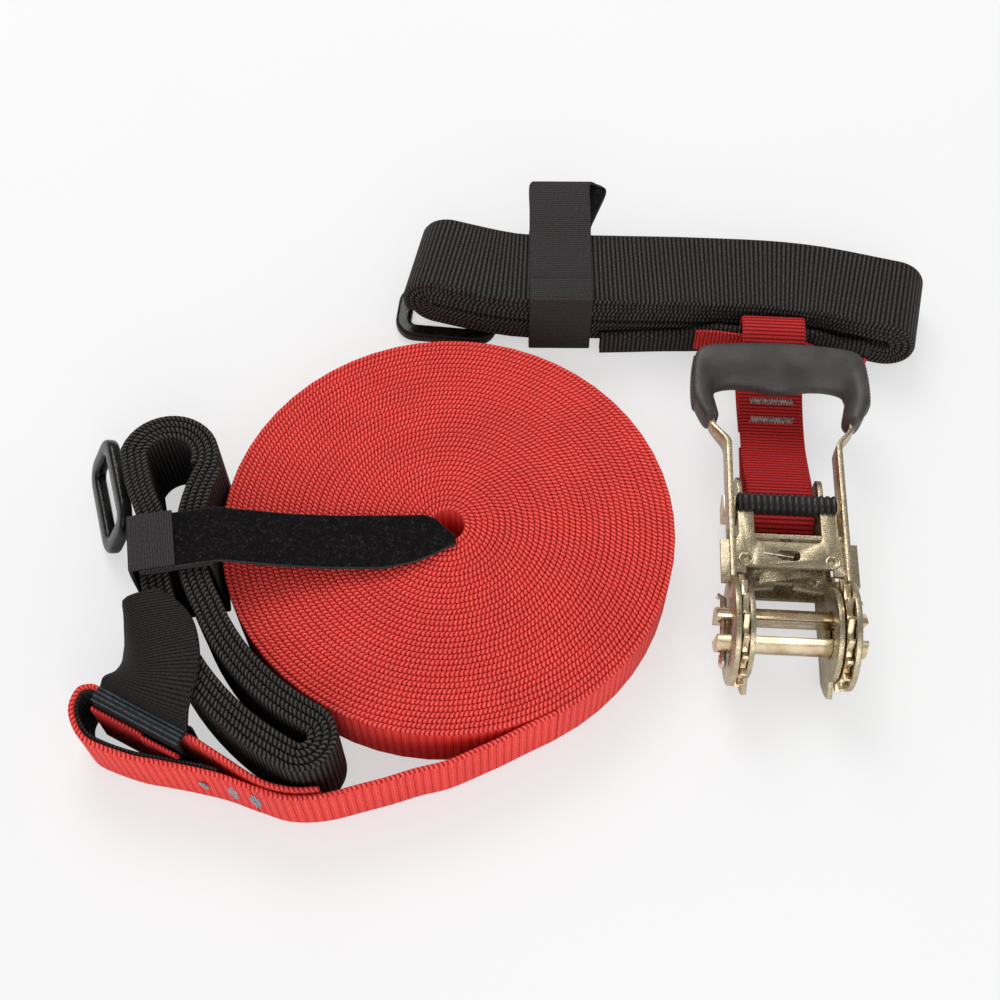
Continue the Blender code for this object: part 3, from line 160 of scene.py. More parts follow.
class RatchetSettings(bpy.types.PropertyGroup):
    """Sizes and colours of the ratchet's finish."""

    edge: length("Edge", "Width of the eased edges of its plates", 0.25)
    strap_width: length("Strap width", "Width of its strap", 25.0)
    strap_thickness: length("Strap thickness", "Thickness of its strap", 2.1)
    pale: tint("Pale zinc", "Colour of the plating where it is thin", (0.62, 0.53, 0.36))
    brown: tint("Brown zinc", "Colour of the plating where it is thick", (0.34, 0.235, 0.12))
    grip: tint("Grip colour", "Colour of the moulded grips", (0.050, 0.044, 0.041))
    thread: tint("Thread colour", "Colour of the strap's tacks", (0.42, 0.36, 0.32))


class StageSettings(bpy.types.PropertyGroup):
    """The floor, the lamps and the camera."""

    floor_colour: tint("Floor colour", "Colour of the floor", (0.93, 0.93, 0.93))
    floor_glow: number("Floor glow", "Share of the floor's light that shadows don't take", 0.6)
    key_power: number("Key lamp", "Power of the lamp behind the kit", 9.0, "POWER")
    fill_power: number("Fill lamp", "Power of the lamp in front of the kit", 7.5, "POWER")
    sky: number("Sky", "Strength of the light from all round", 0.62)
    mirrored_sky: number("Mirrored sky", "Strength of the sky in shiny surfaces", 0.3)
    camera_place: FloatVectorProperty(
        name="Camera place", description="Where the camera stands", subtype="TRANSLATION", unit="LENGTH",
        default=(-7.71 * MM, -274.88 * MM, 467.47 * MM),
    )
    camera_tilt: number("Camera tilt", "Tilt up from straight down", math.radians(30.2), "ROTATION")
    lens: number("Lens", "Focal length on a sensor of 36 mm", 50.4)


def settings(name):
    return getattr(bpy.context.scene, "slackline_" + name)


# Curves and points


def unit(vectors):
    lengths = np.linalg.norm(vectors, axis=-1, keepdims=True)
    return vectors / np.maximum(lengths, 1e-12)


def heading(angle):
    return np.array([math.cos(angle), math.sin(angle)])


def left_of(way):
    return np.array([-way[1], way[0]])


def turns(count):
    """The angles of so many points round a circle."""
    return [2 * math.pi * step / count for step in range(count)]


def around(centre, first, second, radius, angles):
    """Points round a centre, in the plane of two unit vectors."""
    return [centre + (first * math.cos(angle) + second * math.sin(angle)) * radius for angle in angles]


def squared(value, share):
    """A sine or cosine raised to a share with its sign kept, which squares a circle off."""
    return math.copysign(abs(value) ** share, value)


def run_length(points):
    return np.concatenate([[0.0], np.cumsum(np.linalg.norm(np.diff(points, axis=0), axis=1))])


def graded(table, at, scale=1.0):
    """A value read between the rows of a table, each a share of a run and the value there."""
    shares, values = zip(*table)
    return np.interp(at, shares, np.array(values) * scale)


def curve_through(points, steps):
    """Points on a smooth curve through the given ones, with so many steps in each span."""
    given = np.array(points, dtype=float)
    padded = np.concatenate([[2 * given[0] - given[1]], given, [2 * given[-1] - given[-2]]])
    out = []
    for index in range(1, len(padded) - 2):
        before, start, stop, after = padded[index - 1 : index + 3]
        for step in range(steps):
            t = step / steps
            first = (stop - before) * t
            second = (2 * before - 5 * start + 4 * stop - after) * t**2
            third = (3 * start - before - 3 * stop + after) * t**3
            out.append(0.5 * (2 * start + first + second + third))
    out.append(given[-1])
    return np.array(out)


def route(points):
    """A table of places in millimetres, in metres."""
    return [tuple(value * MM for value in point) for point in points]


def rounded_box(low, high, radius, steps):
    """The outline of a box with round corners, from the middle of its right side."""
    lefts = (high[0] - radius, low[0] + radius, low[0] + radius, high[0] - radius)
    tops = (high[1] - radius, high[1] - radius, low[1] + radius, low[1] + radius)
    out = []
    for corner, centre in enumerate(zip(lefts, tops)):
        for step in range(steps + 1):
            angle = math.radians(90 * corner + 90 * step / steps)
            out.append((centre[0] + radius * math.cos(angle), centre[1] + radius * math.sin(angle)))
    return out


def offset_path(plan, distance):
    """A path beside another one, to its left."""
    along = unit(np.gradient(plan, axis=0))
    return plan + np.column_stack([-along[:, 1], along[:, 0]]) * distance


def standing(plan, low, width, columns=5):
    """Lengthwise lines of a strip that stands on edge along a path seen from above."""
    base = np.broadcast_to(np.asarray(low, dtype=float), (len(plan),))
    return np.linspace(np.column_stack([plan, base]), np.column_stack([plan, base + width]), columns)


def lying(rows, columns=LYING_LINES):
    """Lengthwise lines of a strip, from rows of both edges seen from above and a height."""
    edges = np.array([[(*row[side], row[2]) for row in rows] for side in (0, 1)])
    return np.linspace(*edges, columns)


def from_ratchet(points):
    points = np.array(points, dtype=float)
    cosine, sine = math.cos(RATCHET_TURN), math.sin(RATCHET_TURN)
    turned = np.array(points)
    turned[..., 0] = points[..., 0] * cosine - points[..., 1] * sine
    turned[..., 1] = points[..., 0] * sine + points[..., 1] * cosine
    return turned + RATCHET_PLACE + COIL_PLACE


# Meshes and objects

WAVE_LENGTHS = (7.3 * MM, 3.1 * MM)
CAP_STEPS = 4
FIRST_ASIDE = (0.3, 0.1, 0.9)
SMOOTH_ANGLE = 60.0


def new_object(name, data):
    item = bpy.data.objects.new(name, data)
    bpy.context.scene.collection.objects.link(item)
    return item


def outward(mesh):
    """Turns the faces of a closed mesh outwards."""
    bm = bmesh.new()
    bm.from_mesh(mesh)
    bmesh.ops.recalc_face_normals(bm, faces=bm.faces)
    bm.to_mesh(mesh)
    bm.free()
    return mesh


def coat(mesh, material, sharp=SMOOTH_ANGLE):
    """Gives a mesh its one material, smooth where its faces meet at less than an angle."""
    mesh.materials.clear()
    mesh.materials.append(material)
    mesh.shade_smooth()
    mesh.set_sharp_from_angle(angle=math.radians(sharp))


def dress(item, node, stands=True):
    """Puts a piece on the body of a CAD node, which it stands for or only lies on."""
    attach(item, BODIES[node])
    if stands:
        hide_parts(node)
    return item


def place(name, mesh, material, node, stands=True, sharp=SMOOTH_ANGLE):
    coat(mesh, material, sharp)
    return dress(new_object(name, mesh), node, stands)


def tube_mesh(name, sections, closed=False):
    """A body through rings of points, one ring for each station."""
    sections = np.array(sections, dtype=float)
    stations, count = sections.shape[:2]
    faces = []
    for station in range(stations if closed else stations - 1):
        low = station * count
        high = (station + 1) % stations * count
        for side in range(count):
            other = (side + 1) % count
            faces.append((low + side, low + other, high + other, high + side))
    if not closed:
        faces.append(tuple(range(count))[::-1])
        faces.append(tuple((stations - 1) * count + side for side in range(count)))
    mesh = bpy.data.meshes.new(name)
    mesh.from_pydata(sections.reshape(-1, 3).tolist(), [], faces)
    mesh.update()
    return outward(mesh)


def wire_mesh(name, points, radius, sides=12):
    """A round wire along points in space."""
    points = np.array(points, dtype=float)
    along = unit(np.gradient(points, axis=0))
    aside = np.cross(along[0], FIRST_ASIDE)
    sections = []
    for point, ahead in zip(points, along):
        aside = unit(aside - ahead * np.dot(aside, ahead))
        sections.append(around(point, aside, np.cross(ahead, aside), radius, turns(sides)))
    return tube_mesh(name, sections)


def webbing_mesh(name, grid, thickness, wobble):
    """A woven strip through lengthwise lines, with rounded selvedges.

    Its UV map holds the place along it and across it in metres. The attribute
    selvedge is 1 on its rounded edges, and face is 1 on its upper side.
    """
    across = unit(np.gradient(grid, axis=0))
    normal = unit(np.cross(across, unit(np.gradient(grid, axis=1))))
    run = run_length(grid[len(grid) // 2])
    if wobble:
        wave = np.sin(run / WAVE_LENGTHS[0]) + np.sin(run / WAVE_LENGTHS[1] + 1.0)
        grid = grid + normal * (wave * wobble / 2)[None, :, None]
    half = thickness / 2
    grid[0] += across[0] * half
    grid[-1] -= across[-1] * half
    reach = np.concatenate([[0.0], np.cumsum(np.linalg.norm(np.diff(grid, axis=0), axis=2).mean(axis=1))])
    rows = []
    marks = []
    columns = list(range(len(grid)))
    for side in (1.0, -1.0):
        for column in columns:
            rows.append(grid[column] + normal[column] * side * half)
            marks.append((reach[column] + side * half, 0.0, (1.0 + side) / 2))
        end = columns[-1]
        for step in range(1, CAP_STEPS):
            angle = side * (math.pi / 2 - math.pi * step / CAP_STEPS)
            out, up = side * math.cos(angle), math.sin(angle)
            rows.append(grid[end] + (across[end] * out + normal[end] * up) * half)
            marks.append((reach[end] + (out + up) * half, 1.0, (1.0 + up) / 2))
        columns.reverse()
    mesh = tube_mesh(name, np.stack(rows, axis=1))
    stations, count = len(run), len(rows)
    marks = np.array(marks)
    places = np.column_stack([np.repeat(run, count), np.tile(marks[:, 0], stations)])
    corners = np.empty(len(mesh.loops), dtype=np.int32)
    mesh.loops.foreach_get("vertex_index", corners)
    mesh.uv_layers.new(name="UVMap").data.foreach_set("uv", places[corners].ravel())
    for index, label in ((1, "selvedge"), (2, "face")):
        attribute = mesh.attributes.new(label, "FLOAT", "POINT")
        attribute.data.foreach_set("value", np.tile(marks[:, index], stations))
    mesh.update()
    return mesh


def webbing(name, grid, thickness, material, node, wobble=0.0):
    """A strip of webbing that stands for a CAD node."""
    grid = np.array(grid, dtype=float) + COIL_PLACE
    item = place(name, webbing_mesh(name, grid, thickness, wobble), material, node)
    return item


# Node trees


class Tree:
    """Adds nodes to a tree and links them."""

    def __init__(self, tree):
        self.tree = tree

    def add(self, kind, inputs=None, **values):
        node = self.tree.nodes.new(kind)
        node.location = (180 * (len(self.tree.nodes) % 9), -160 * (len(self.tree.nodes) // 9))
        for name, value in values.items():
            setattr(node, name, value)
        self.drive(node, inputs or {})
        return node

    def drive(self, node, inputs):
        for name, value in inputs.items():
            self.feed(node.inputs[name], value)

    def feed(self, socket, value):
        if isinstance(value, bpy.types.NodeSocket):
            self.tree.links.new(value, socket)
        else:
            socket.default_value = value

    def math(self, operation, first, second=0.0, third=0.0):
        node = self.add("ShaderNodeMath", operation=operation)
        for socket, value in zip(node.inputs, (first, second, third)):
            self.feed(socket, value)
        return node.outputs[0]

    def plus(self, first, second):
        return self.math("ADD", first, second)

    def times(self, first, second):
        return self.math("MULTIPLY", first, second)

    def scaled(self, value, gain, base):
        return self.math("MULTIPLY_ADD", value, gain, base)

    def wave(self, at, count=1):
        """Arches side by side, so many to each step of 1."""
        return self.math("ABSOLUTE", self.math("SINE", self.times(at, count * math.pi)))

    def blend(self, share, first, second):
        """A number between two others."""
        return self.plus(self.times(self.math("SUBTRACT", second, first), share), first)

    def ramp(self, value, low, high):
        """A value that goes smoothly from 0 to 1 between low and high."""
        inputs = {"Value": value, "From Min": low, "From Max": high}
        return self.add("ShaderNodeMapRange", inputs, interpolation_type="SMOOTHSTEP").outputs["Result"]

    def mix(self, share, first, second, blend="MIX"):
        """A colour between two others, or one multiplied by the other."""
        node = self.add("ShaderNodeMix", data_type="RGBA", blend_type=blend)
        colours = [socket for socket in (*node.inputs, *node.outputs) if socket.type == "RGBA"]
        self.feed(node.inputs["Factor"], share)
        for socket, value in zip(colours, (first, second)):
            self.feed(socket, value if isinstance(value, bpy.types.NodeSocket) else (*value, 1.0))
        return colours[-1]

    def noise(self, at, scale, **inputs):
        return self.add("ShaderNodeTexNoise", {"Vector": at, "Scale": scale, **inputs}).outputs["Fac"]

    def mark(self, name):
        return self.add("ShaderNodeAttribute", attribute_name=name).outputs["Fac"]

    def xyz(self, **parts):
        return self.add("ShaderNodeCombineXYZ", parts).outputs[0]

    def bump(self, shader, height, depth):
        node = self.add("ShaderNodeBump", {"Strength": 1.0, "Distance": depth, "Height": height})
        self.feed(shader.inputs["Normal"], node.outputs["Normal"])


def new_group(name, kind, inputs, outputs):
    """A node group whose sockets are numbers, or the geometry or material that they are named for."""
    group = bpy.data.node_groups.new(name, kind)
    for label, value in inputs.items():
        socket = {float: "Float", int: "Int"}.get(type(value), label)
        made = group.interface.new_socket(label, in_out="INPUT", socket_type="NodeSocket" + socket)
        if value is not None:
            made.default_value = value
    for label in outputs:
        socket = label if label == "Geometry" else "Float"
        group.interface.new_socket(label, in_out="OUTPUT", socket_type="NodeSocket" + socket)
    tree = Tree(group)
    return tree, tree.add("NodeGroupInput").outputs, tree.add("NodeGroupOutput")


def shared_group(name, maker):
    return bpy.data.node_groups.get(name) or maker()


def use_group(tree, group, values):
    node = tree.add("ShaderNodeGroup", node_tree=group)
    tree.drive(node, values)
    return node.outputs


# The weave: how full its ribs and beads are, how deep yarns cut into a rib, how soft cloth keeps its
# face and adds fine ribs, where the selvedge's beads start and stop, and its flecks
RIB_FULLNESS = 0.6
BEAD_FULLNESS = 0.7
YARN_DEPTH = 0.22
SOFT_FACE_SHARE = 0.42
FINE_RIBS = 3
FINE_RIB_GAIN = (0.2, 0.34)
BEADED_RANGE = (0.15, 0.75)
FLECK_SCALE = 1500.0
FLECK_GAIN = 3.0

# Where a blotch and a speck start and end in their noise
BLOTCH_RANGE = (0.34, 0.66)
SPECK_RANGE = (0.42, 0.68)


def weave_group():
    """Ribs across the face of webbing and beads along its selvedges, in metres of its UV map."""
    inputs = {
        "Rib Pitch": 1.8 * MM, "Yarn Pitch": 0.9 * MM, "Bead Pitch": 1.6 * MM, "Bead Skew": 3.4 * MM,
        "Fuzz": 0.3, "Softness": 0.0,
    }
    tree, given, out = new_group("weave", "ShaderNodeTree", inputs, ("Height", "Tone"))
    at = tree.add("ShaderNodeUVMap", uv_map="UVMap").outputs["UV"]
    parts = tree.add("ShaderNodeSeparateXYZ", {"Vector": at}).outputs
    ribs = tree.math("DIVIDE", parts["X"], given["Rib Pitch"])
    rib = tree.math("POWER", tree.wave(ribs), RIB_FULLNESS)
    shift = tree.times(tree.math("FLOOR", ribs), 0.5)
    yarn = tree.wave(tree.plus(tree.math("DIVIDE", parts["Y"], given["Yarn Pitch"]), shift))
    face = tree.times(rib, tree.scaled(yarn, YARN_DEPTH, 1.0 - YARN_DEPTH))
    fine = tree.scaled(tree.wave(ribs, FINE_RIBS), *FINE_RIB_GAIN)
    soft = tree.scaled(face, SOFT_FACE_SHARE, fine)
    face = tree.blend(given["Softness"], face, soft)
    lean = tree.math("DIVIDE", parts["Y"], given["Bead Skew"])
    beads = tree.wave(tree.plus(tree.math("DIVIDE", parts["X"], given["Bead Pitch"]), lean))
    beaded = tree.ramp(tree.mark("selvedge"), *BEADED_RANGE)
    height = tree.blend(beaded, face, tree.math("POWER", beads, BEAD_FULLNESS))
    fleck = tree.math("SUBTRACT", tree.noise(at, FLECK_SCALE, Detail=2.0, Roughness=0.6), 0.5)
    fleck = tree.times(fleck, tree.times(given["Fuzz"], FLECK_GAIN))
    tree.drive(out, {"Height": height, "Tone": tree.plus(height, fleck)})
    return tree.tree


def mottle_group():
    """Soft blotches and fine specks, for plating, plastic and cloth that isn't one flat colour."""
    inputs = {"Blotch Scale": 160.0, "Speck Scale": 1400.0}
    tree, given, out = new_group("mottle", "ShaderNodeTree", inputs, ("Blotch", "Speck"))
    at = tree.add("ShaderNodeTexCoord").outputs["Object"]
    blotch = tree.ramp(tree.noise(at, given["Blotch Scale"], Detail=4.0), *BLOTCH_RANGE)
    speck = tree.ramp(tree.noise(at, given["Speck Scale"], Detail=2.0), *SPECK_RANGE)
    tree.drive(out, {"Blotch": blotch, "Speck": speck})
    return tree.tree


def weave_in(tree, **values):
    values = {label.replace("_", " "): value for label, value in values.items()}
    return use_group(tree, shared_group("weave", weave_group), values)


def mottle_in(tree, blotch_scale, speck_scale):
    values = {"Blotch Scale": blotch_scale, "Speck Scale": speck_scale}
    return use_group(tree, shared_group("mottle", mottle_group), values)


# Materials

# How bright the black band's painted highlight is, as a share of the sling's
BAND_HIGHLIGHT_SHARE = 0.35

# Ranges say where one thing turns to another, gains scale a pattern and add a base, and a mottle's
# two numbers are the scales of its blotches and specks
# Webbing: where its tone turns from the painted shade to its colour and from that to the painted highlight,
# and how far the highlight goes
CLOTH_BODY_RANGE = (0.16, 0.72)
CLOTH_HIGHLIGHT_RANGE = (0.68, 1.12)
CLOTH_HIGHLIGHT_SHARE = 0.9
CLOTH_MOTTLE = (45.0, 900.0)
CLOTH_SHADE_GAIN = (0.08, 0.96)
CLOTH_ROUGHNESS_GAIN = (-0.18, 0.84)
TAPE_MOTTLE = (420.0, 1100.0)
# The tape's woven side: where its tone turns from painted shade to painted highlight, and the shares of its
# colour for each
TAPE_WOVEN_RANGE = (0.0, 1.1)
TAPE_WOVEN_SHADE_AND_HIGHLIGHT = (0.45, 1.5)
TAPE_LOOPED_SHADES = (0.6, 3.2)
TAPE_RIM_RANGE = (0.2, 0.5)
TAPE_SIDE_RANGE = (0.45, 0.55)
TAPE_WOVEN_RELIEF = 0.3
TAPE_DEPTH = 0.45 * MM
ZINC_MOTTLE = (190.0, 1500.0)
ZINC_FINE_MOTTLE = (520.0, 2600.0)
ZINC_BLOTCH_SHARE = 0.4
ZINC_FINE_GAIN = (0.25, 0.3)
ZINC_SPECK_SHARE = 0.6
ZINC_SPECK_COLOUR = (0.46, 0.46, 0.37)
ZINC_ROUGHNESS_GAIN = (0.22, 0.26)
ZINC_DEPTH = 0.02 * MM

# Webbings: the painted shade between the yarns, the colour on them and the painted highlight on their tops,
# the pitch of the ribs and of the selvedge's beads and their depth in millimetres, then fuzz, shine and
# softness
WEAVES = {
    "red strap": (
        (0.13, 0.002, 0.003), (0.40, 0.009, 0.011), (0.66, 0.050, 0.046), 1.5, 1.5, 0.25, 0.16, 0.18, 0.0,
    ),
    "red lining": (
        (0.24, 0.005, 0.006), (0.55, 0.016, 0.02), (0.78, 0.10, 0.09), 1.5, 1.4, 0.22, 0.25, 0.18, 0.0,
    ),
    "black liner": (
        (0.003, 0.003, 0.003), (0.012, 0.011, 0.011), (0.04, 0.038, 0.037), 1.4, 1.4, 0.2, 0.3, 0.18, 0.0,
    ),
}

# Speckled finishes: two colours, the scales of blotches and specks, how much a speck adds to the
# roughness and the roughness without it, the specks' relief in millimetres, and plain values
SPECKLED = {
    "bright zinc": (
        (0.62, 0.46, 0.27), (0.86, 0.72, 0.50), (130.0, 1600.0), (0.14, 0.2), 0.0,
        {"Metallic": 0.95, "Roughness": 0.24},
    ),
    "bright wire": (
        (0.42, 0.36, 0.26), (0.74, 0.70, 0.60), (300.0, 1800.0), (0.2, 0.22), 0.0,
        {"Metallic": 0.95, "Roughness": 0.3},
    ),
    "black steel": (
        (0.004, 0.0038, 0.0036), (0.012, 0.011, 0.010), (120.0, 1200.0), (0.16, 0.16), 0.02,
        {"Roughness": 0.2, "Specular IOR Level": 0.3},
    ),
}


def shaded(colour, share):
    return tuple(value * share for value in colour)


def new_material(name, values):
    """A material with its tree and shader, or without them where it is there already."""
    material = bpy.data.materials.get(name)
    if material:
        return material, None, None
    material = bpy.data.materials.new(name)
    material.use_nodes = True
    tree = Tree(material.node_tree)
    shader = material.node_tree.nodes["Principled BSDF"]
    tree.drive(shader, values)
    return material, tree, shader


def woven(name):
    """Webbing of one colour, with painted shade between its yarns and a painted highlight on their tops."""
    line, sling = settings("line"), settings("sling")
    # The black band's painted highlight is a dimmer copy of the sling's
    dull = shaded(sling.lit_crest, BAND_HIGHLIGHT_SHARE)
    weaves = {
        "red line": (line.shaded_valley, line.body, line.lit_crest, 2.9, 1.62, 0.34, 0.34, 0.18, 1.0),
        "black sling": (sling.shaded_valley, sling.body, sling.lit_crest, 1.8, 1.7, 0.32, 0.3, 0.15, 0.0),
        "black band": (sling.shaded_valley, sling.body, dull, 0.95, 1.5, 0.16, 0.45, 0.15, 0.0),
        **WEAVES,
    }
    shaded_valley, body, lit_crest, rib, bead, depth, fuzz, shine, softness = weaves[name]
    material, tree, shader = new_material(name, {"Roughness": 0.72, "Specular IOR Level": shine})
    if tree:
        weave = weave_in(tree, Rib_Pitch=rib * MM, Bead_Pitch=bead * MM, Fuzz=fuzz, Softness=softness)
        tone = weave["Tone"]
        # Painted shade in the weave's hollows and a painted highlight on its tops, by the weave's tone
        colour = tree.mix(tree.ramp(tone, *CLOTH_BODY_RANGE), shaded_valley, body)
        top = tree.times(tree.ramp(tone, *CLOTH_HIGHLIGHT_RANGE), CLOTH_HIGHLIGHT_SHARE)
        colour = tree.mix(top, colour, lit_crest)
        shade = tree.scaled(mottle_in(tree, *CLOTH_MOTTLE)["Blotch"], *CLOTH_SHADE_GAIN)
        grey = tree.add("ShaderNodeCombineColor", {"Red": shade, "Green": shade, "Blue": shade})
        colour = tree.mix(1.0, colour, grey.outputs[0], "MULTIPLY")
        tree.drive(shader, {"Base Color": colour, "Roughness": tree.scaled(tone, *CLOTH_ROUGHNESS_GAIN)})
        tree.bump(shader, weave["Height"], depth * MM)
    return material


def tape():
    """Hook and loop tape: woven on its outer side, with soft loops on the other."""
    tie = settings("tie")
    values = {"Roughness": 0.9, "Specular IOR Level": 0.12}
    material, tree, shader = new_material("hook and loop tape", values)
    if tree:
        weave = weave_in(tree, Rib_Pitch=0.9 * MM, Yarn_Pitch=0.6 * MM, Bead_Pitch=1.0 * MM, Fuzz=0.6)
        mottle = mottle_in(tree, *TAPE_MOTTLE)
        # On the woven side, painted shade in the weave's hollows and a painted highlight on its ribs
        tone = tree.ramp(weave["Tone"], *TAPE_WOVEN_RANGE)
        plain = tree.mix(tone, *[shaded(tie.woven, share) for share in TAPE_WOVEN_SHADE_AND_HIGHLIGHT])
        rim = tree.ramp(tree.mark("selvedge"), *TAPE_RIM_RANGE)
        side = tree.times(tree.ramp(tree.mark("face"), *TAPE_SIDE_RANGE), tree.math("SUBTRACT", 1.0, rim))
        tuft = tree.times(mottle["Speck"], mottle["Blotch"])
        looped = tree.mix(tuft, *[shaded(tie.fuzzy, share) for share in TAPE_LOOPED_SHADES])
        tree.drive(shader, {"Base Color": tree.mix(side, plain, looped)})
        tufts = tree.plus(mottle["Speck"], mottle["Blotch"])
        ribs = tree.times(weave["Height"], TAPE_WOVEN_RELIEF)
        tree.bump(shader, tree.blend(side, ribs, tufts), TAPE_DEPTH)
    return material


def zinc():
    """Yellow zinc plating, blotched from pale to brown, with fine specks."""
    ratchet = settings("ratchet")
    material, tree, shader = new_material("yellow zinc", {"Metallic": 0.92, "Roughness": 0.34})
    if tree:
        mottle = mottle_in(tree, *ZINC_MOTTLE)
        fine = mottle_in(tree, *ZINC_FINE_MOTTLE)
        base = tree.scaled(fine["Blotch"], *ZINC_FINE_GAIN)
        share = tree.scaled(mottle["Blotch"], ZINC_BLOTCH_SHARE, base)
        colour = tree.mix(share, ratchet.brown, ratchet.pale)
        colour = tree.mix(tree.times(mottle["Speck"], ZINC_SPECK_SHARE), colour, ZINC_SPECK_COLOUR)
        rough = tree.scaled(mottle["Speck"], *ZINC_ROUGHNESS_GAIN)
        tree.drive(shader, {"Base Color": colour, "Roughness": rough})
        tree.bump(shader, tree.plus(mottle["Speck"], fine["Speck"]), ZINC_DEPTH)
    return material


def speckled(name, low, high, scales, rough, relief, values):
    """A finish blotched between two colours, rougher in its specks where rough says so."""
    material, tree, shader = new_material(name, values)
    if tree:
        mottle = mottle_in(tree, *scales)
        tree.drive(shader, {"Base Color": tree.mix(mottle["Blotch"], low, high)})
        if rough:
            tree.drive(shader, {"Roughness": tree.scaled(mottle["Speck"], *rough)})
        if relief:
            tree.bump(shader, mottle["Speck"], relief * MM)
    return material


def moulded(name="moulded grip", share=1.0, roughness=0.42):
    """Moulded plastic with a fine grain."""
    grip = settings("ratchet").grip
    low, high = shaded(grip, 0.8 * share), shaded(grip, 1.25 * share)
    return speckled(name, low, high, (90.0, 2200.0), (0.14, roughness), 0.03, {"Roughness": roughness})


def thread(name, dark, pale):
    return speckled(name, dark, pale, (700.0, 2400.0), None, 0.0, {"Roughness": 0.6, "Sheen Weight": 0.3})


# Geometry trees


def baked(item):
    """Turns an object's modifiers into its plain mesh."""
    bpy.context.view_layer.update()
    graph = bpy.context.evaluated_depsgraph_get()
    mesh = bpy.data.meshes.new_from_object(item.evaluated_get(graph), depsgraph=graph)
    mesh.name = item.name
    item.modifiers.clear()
    item.data = mesh
    return item


def grown(name, mesh, group, values):
    """An object made by a geometry tree from a mesh, with the tree's inputs set by name."""
    item = new_object(name, mesh)
    step = item.modifiers.new("grow", "NODES")
    step.node_group = group
    for socket in group.interface.items_tree:
        if socket.item_type == "SOCKET" and socket.in_out == "INPUT" and socket.name in values:
            step[socket.identifier] = values[socket.name]
    baked(item)
    if not item.data.polygons:
        raise RuntimeError(name + " has no faces")
    return item


def finish_tree(tree, given, out, mesh):
    whole = tree.add("GeometryNodeRealizeInstances", {"Geometry": mesh}).outputs[0]
    smooth = tree.add("GeometryNodeSetShadeSmooth", {"Geometry": whole}).outputs[0]
    done = tree.add("GeometryNodeSetMaterial", {"Geometry": smooth, "Material": given["Material"]})
    tree.drive(out, {"Geometry": done.outputs["Geometry"]})
    return tree.tree


def in_use(sockets, name):
    """The socket of a name that a node's kind of data leaves in use."""
    return [socket for socket in sockets if socket.name == name and socket.enabled][0]


def stored(tree, geometry, name, value, kind="FLOAT", domain="POINT"):
    inputs = {"Geometry": geometry, "Name": name}
    node = tree.add("GeometryNodeStoreNamedAttribute", inputs, data_type=kind, domain=domain)
    tree.feed(in_use(node.inputs, "Value"), value)
    return node.outputs["Geometry"]


def read_back(tree, name, kind="FLOAT"):
    node = tree.add("GeometryNodeInputNamedAttribute", {"Name": name}, data_type=kind)
    return in_use(node.outputs, "Attribute")


CORNER_SHARE = 0.46
WANDER_PACE = 1.7
RISE_RANGE = (0.3, 0.7)
CORNER_POINTS = 3


def winding_tree():
    """A flat strip wound on edge in a spiral, with turns that stand a little higher or lower."""
    inputs = {
        "Geometry": None, "Turns": 36.0, "Steps": 48, "Bore Radius": 6.0 * MM, "Outer Radius": 82.0 * MM,
        "Width": 25.0 * MM, "Thickness": 2.0 * MM, "End Angle": 0.0, "Unevenness": 0.5 * MM, "Seed": 3.0,
        "Material": None,
    }
    tree, given, out = new_group("wound webbing", "GeometryNodeTree", inputs, ("Geometry",))
    sizes = {
        "Resolution": given["Steps"], "Rotations": given["Turns"], "Start Radius": given["Bore Radius"],
        "End Radius": given["Outer Radius"], "Height": 0.0, "Reverse": False,
    }
    spiral = tree.add("GeometryNodeCurveSpiral", sizes).outputs["Curve"]
    middle = tree.xyz(Z=tree.times(given["Width"], 0.5))
    turned = {"Geometry": spiral, "Translation": middle, "Rotation": tree.xyz(Z=given["End Angle"])}
    moved = tree.add("GeometryNodeTransform", turned).outputs["Geometry"]
    run = tree.add("GeometryNodeSplineParameter").outputs
    wander = tree.scaled(tree.times(run["Factor"], given["Turns"]), WANDER_PACE, given["Seed"])
    noise = tree.add("ShaderNodeTexNoise", {"W": wander, "Scale": 1.0, "Detail": 1.0}, noise_dimensions="1D")
    rise = tree.xyz(Z=tree.times(tree.ramp(noise.outputs[0], *RISE_RANGE), given["Unevenness"]))
    uneven = tree.add("GeometryNodeSetPosition", {"Geometry": moved, "Offset": rise}).outputs["Geometry"]
    path = stored(tree, uneven, "run", run["Length"])
    level = tree.add("GeometryNodeSetCurveNormal", {"Curve": path}, mode="Z_UP").outputs["Curve"]
    sizes = {"Width": given["Thickness"], "Height": given["Width"]}
    section = tree.add("GeometryNodeCurvePrimitiveQuadrilateral", sizes).outputs["Curve"]
    corner = {"Curve": section, "Radius": tree.times(given["Thickness"], CORNER_SHARE)}
    rounded = tree.add("GeometryNodeFilletCurve", corner, mode="POLY")
    tree.drive(rounded, {"Count": CORNER_POINTS})
    spot = tree.add("GeometryNodeInputPosition").outputs[0]
    at = tree.add("ShaderNodeSeparateXYZ", {"Vector": spot}).outputs
    profile = stored(tree, rounded.outputs["Curve"], "section_x", at["X"])
    profile = stored(tree, profile, "section_y", at["Y"])
    swept = tree.add("GeometryNodeCurveToMesh", {"Curve": level, "Profile Curve": profile, "Fill Caps": True})
    across, up = read_back(tree, "section_x"), read_back(tree, "section_y")
    uv = tree.xyz(X=read_back(tree, "run"), Y=tree.plus(across, up))
    mesh = stored(tree, swept.outputs["Mesh"], "UVMap", uv, "FLOAT2", "CORNER")
    edge = tree.math("SUBTRACT", tree.times(given["Width"], 0.5), given["Thickness"])
    selvedge = tree.math("GREATER_THAN", tree.math("ABSOLUTE", up), edge)
    return finish_tree(tree, given, out, stored(tree, mesh, "selvedge", selvedge, "FLOAT", "FACE"))


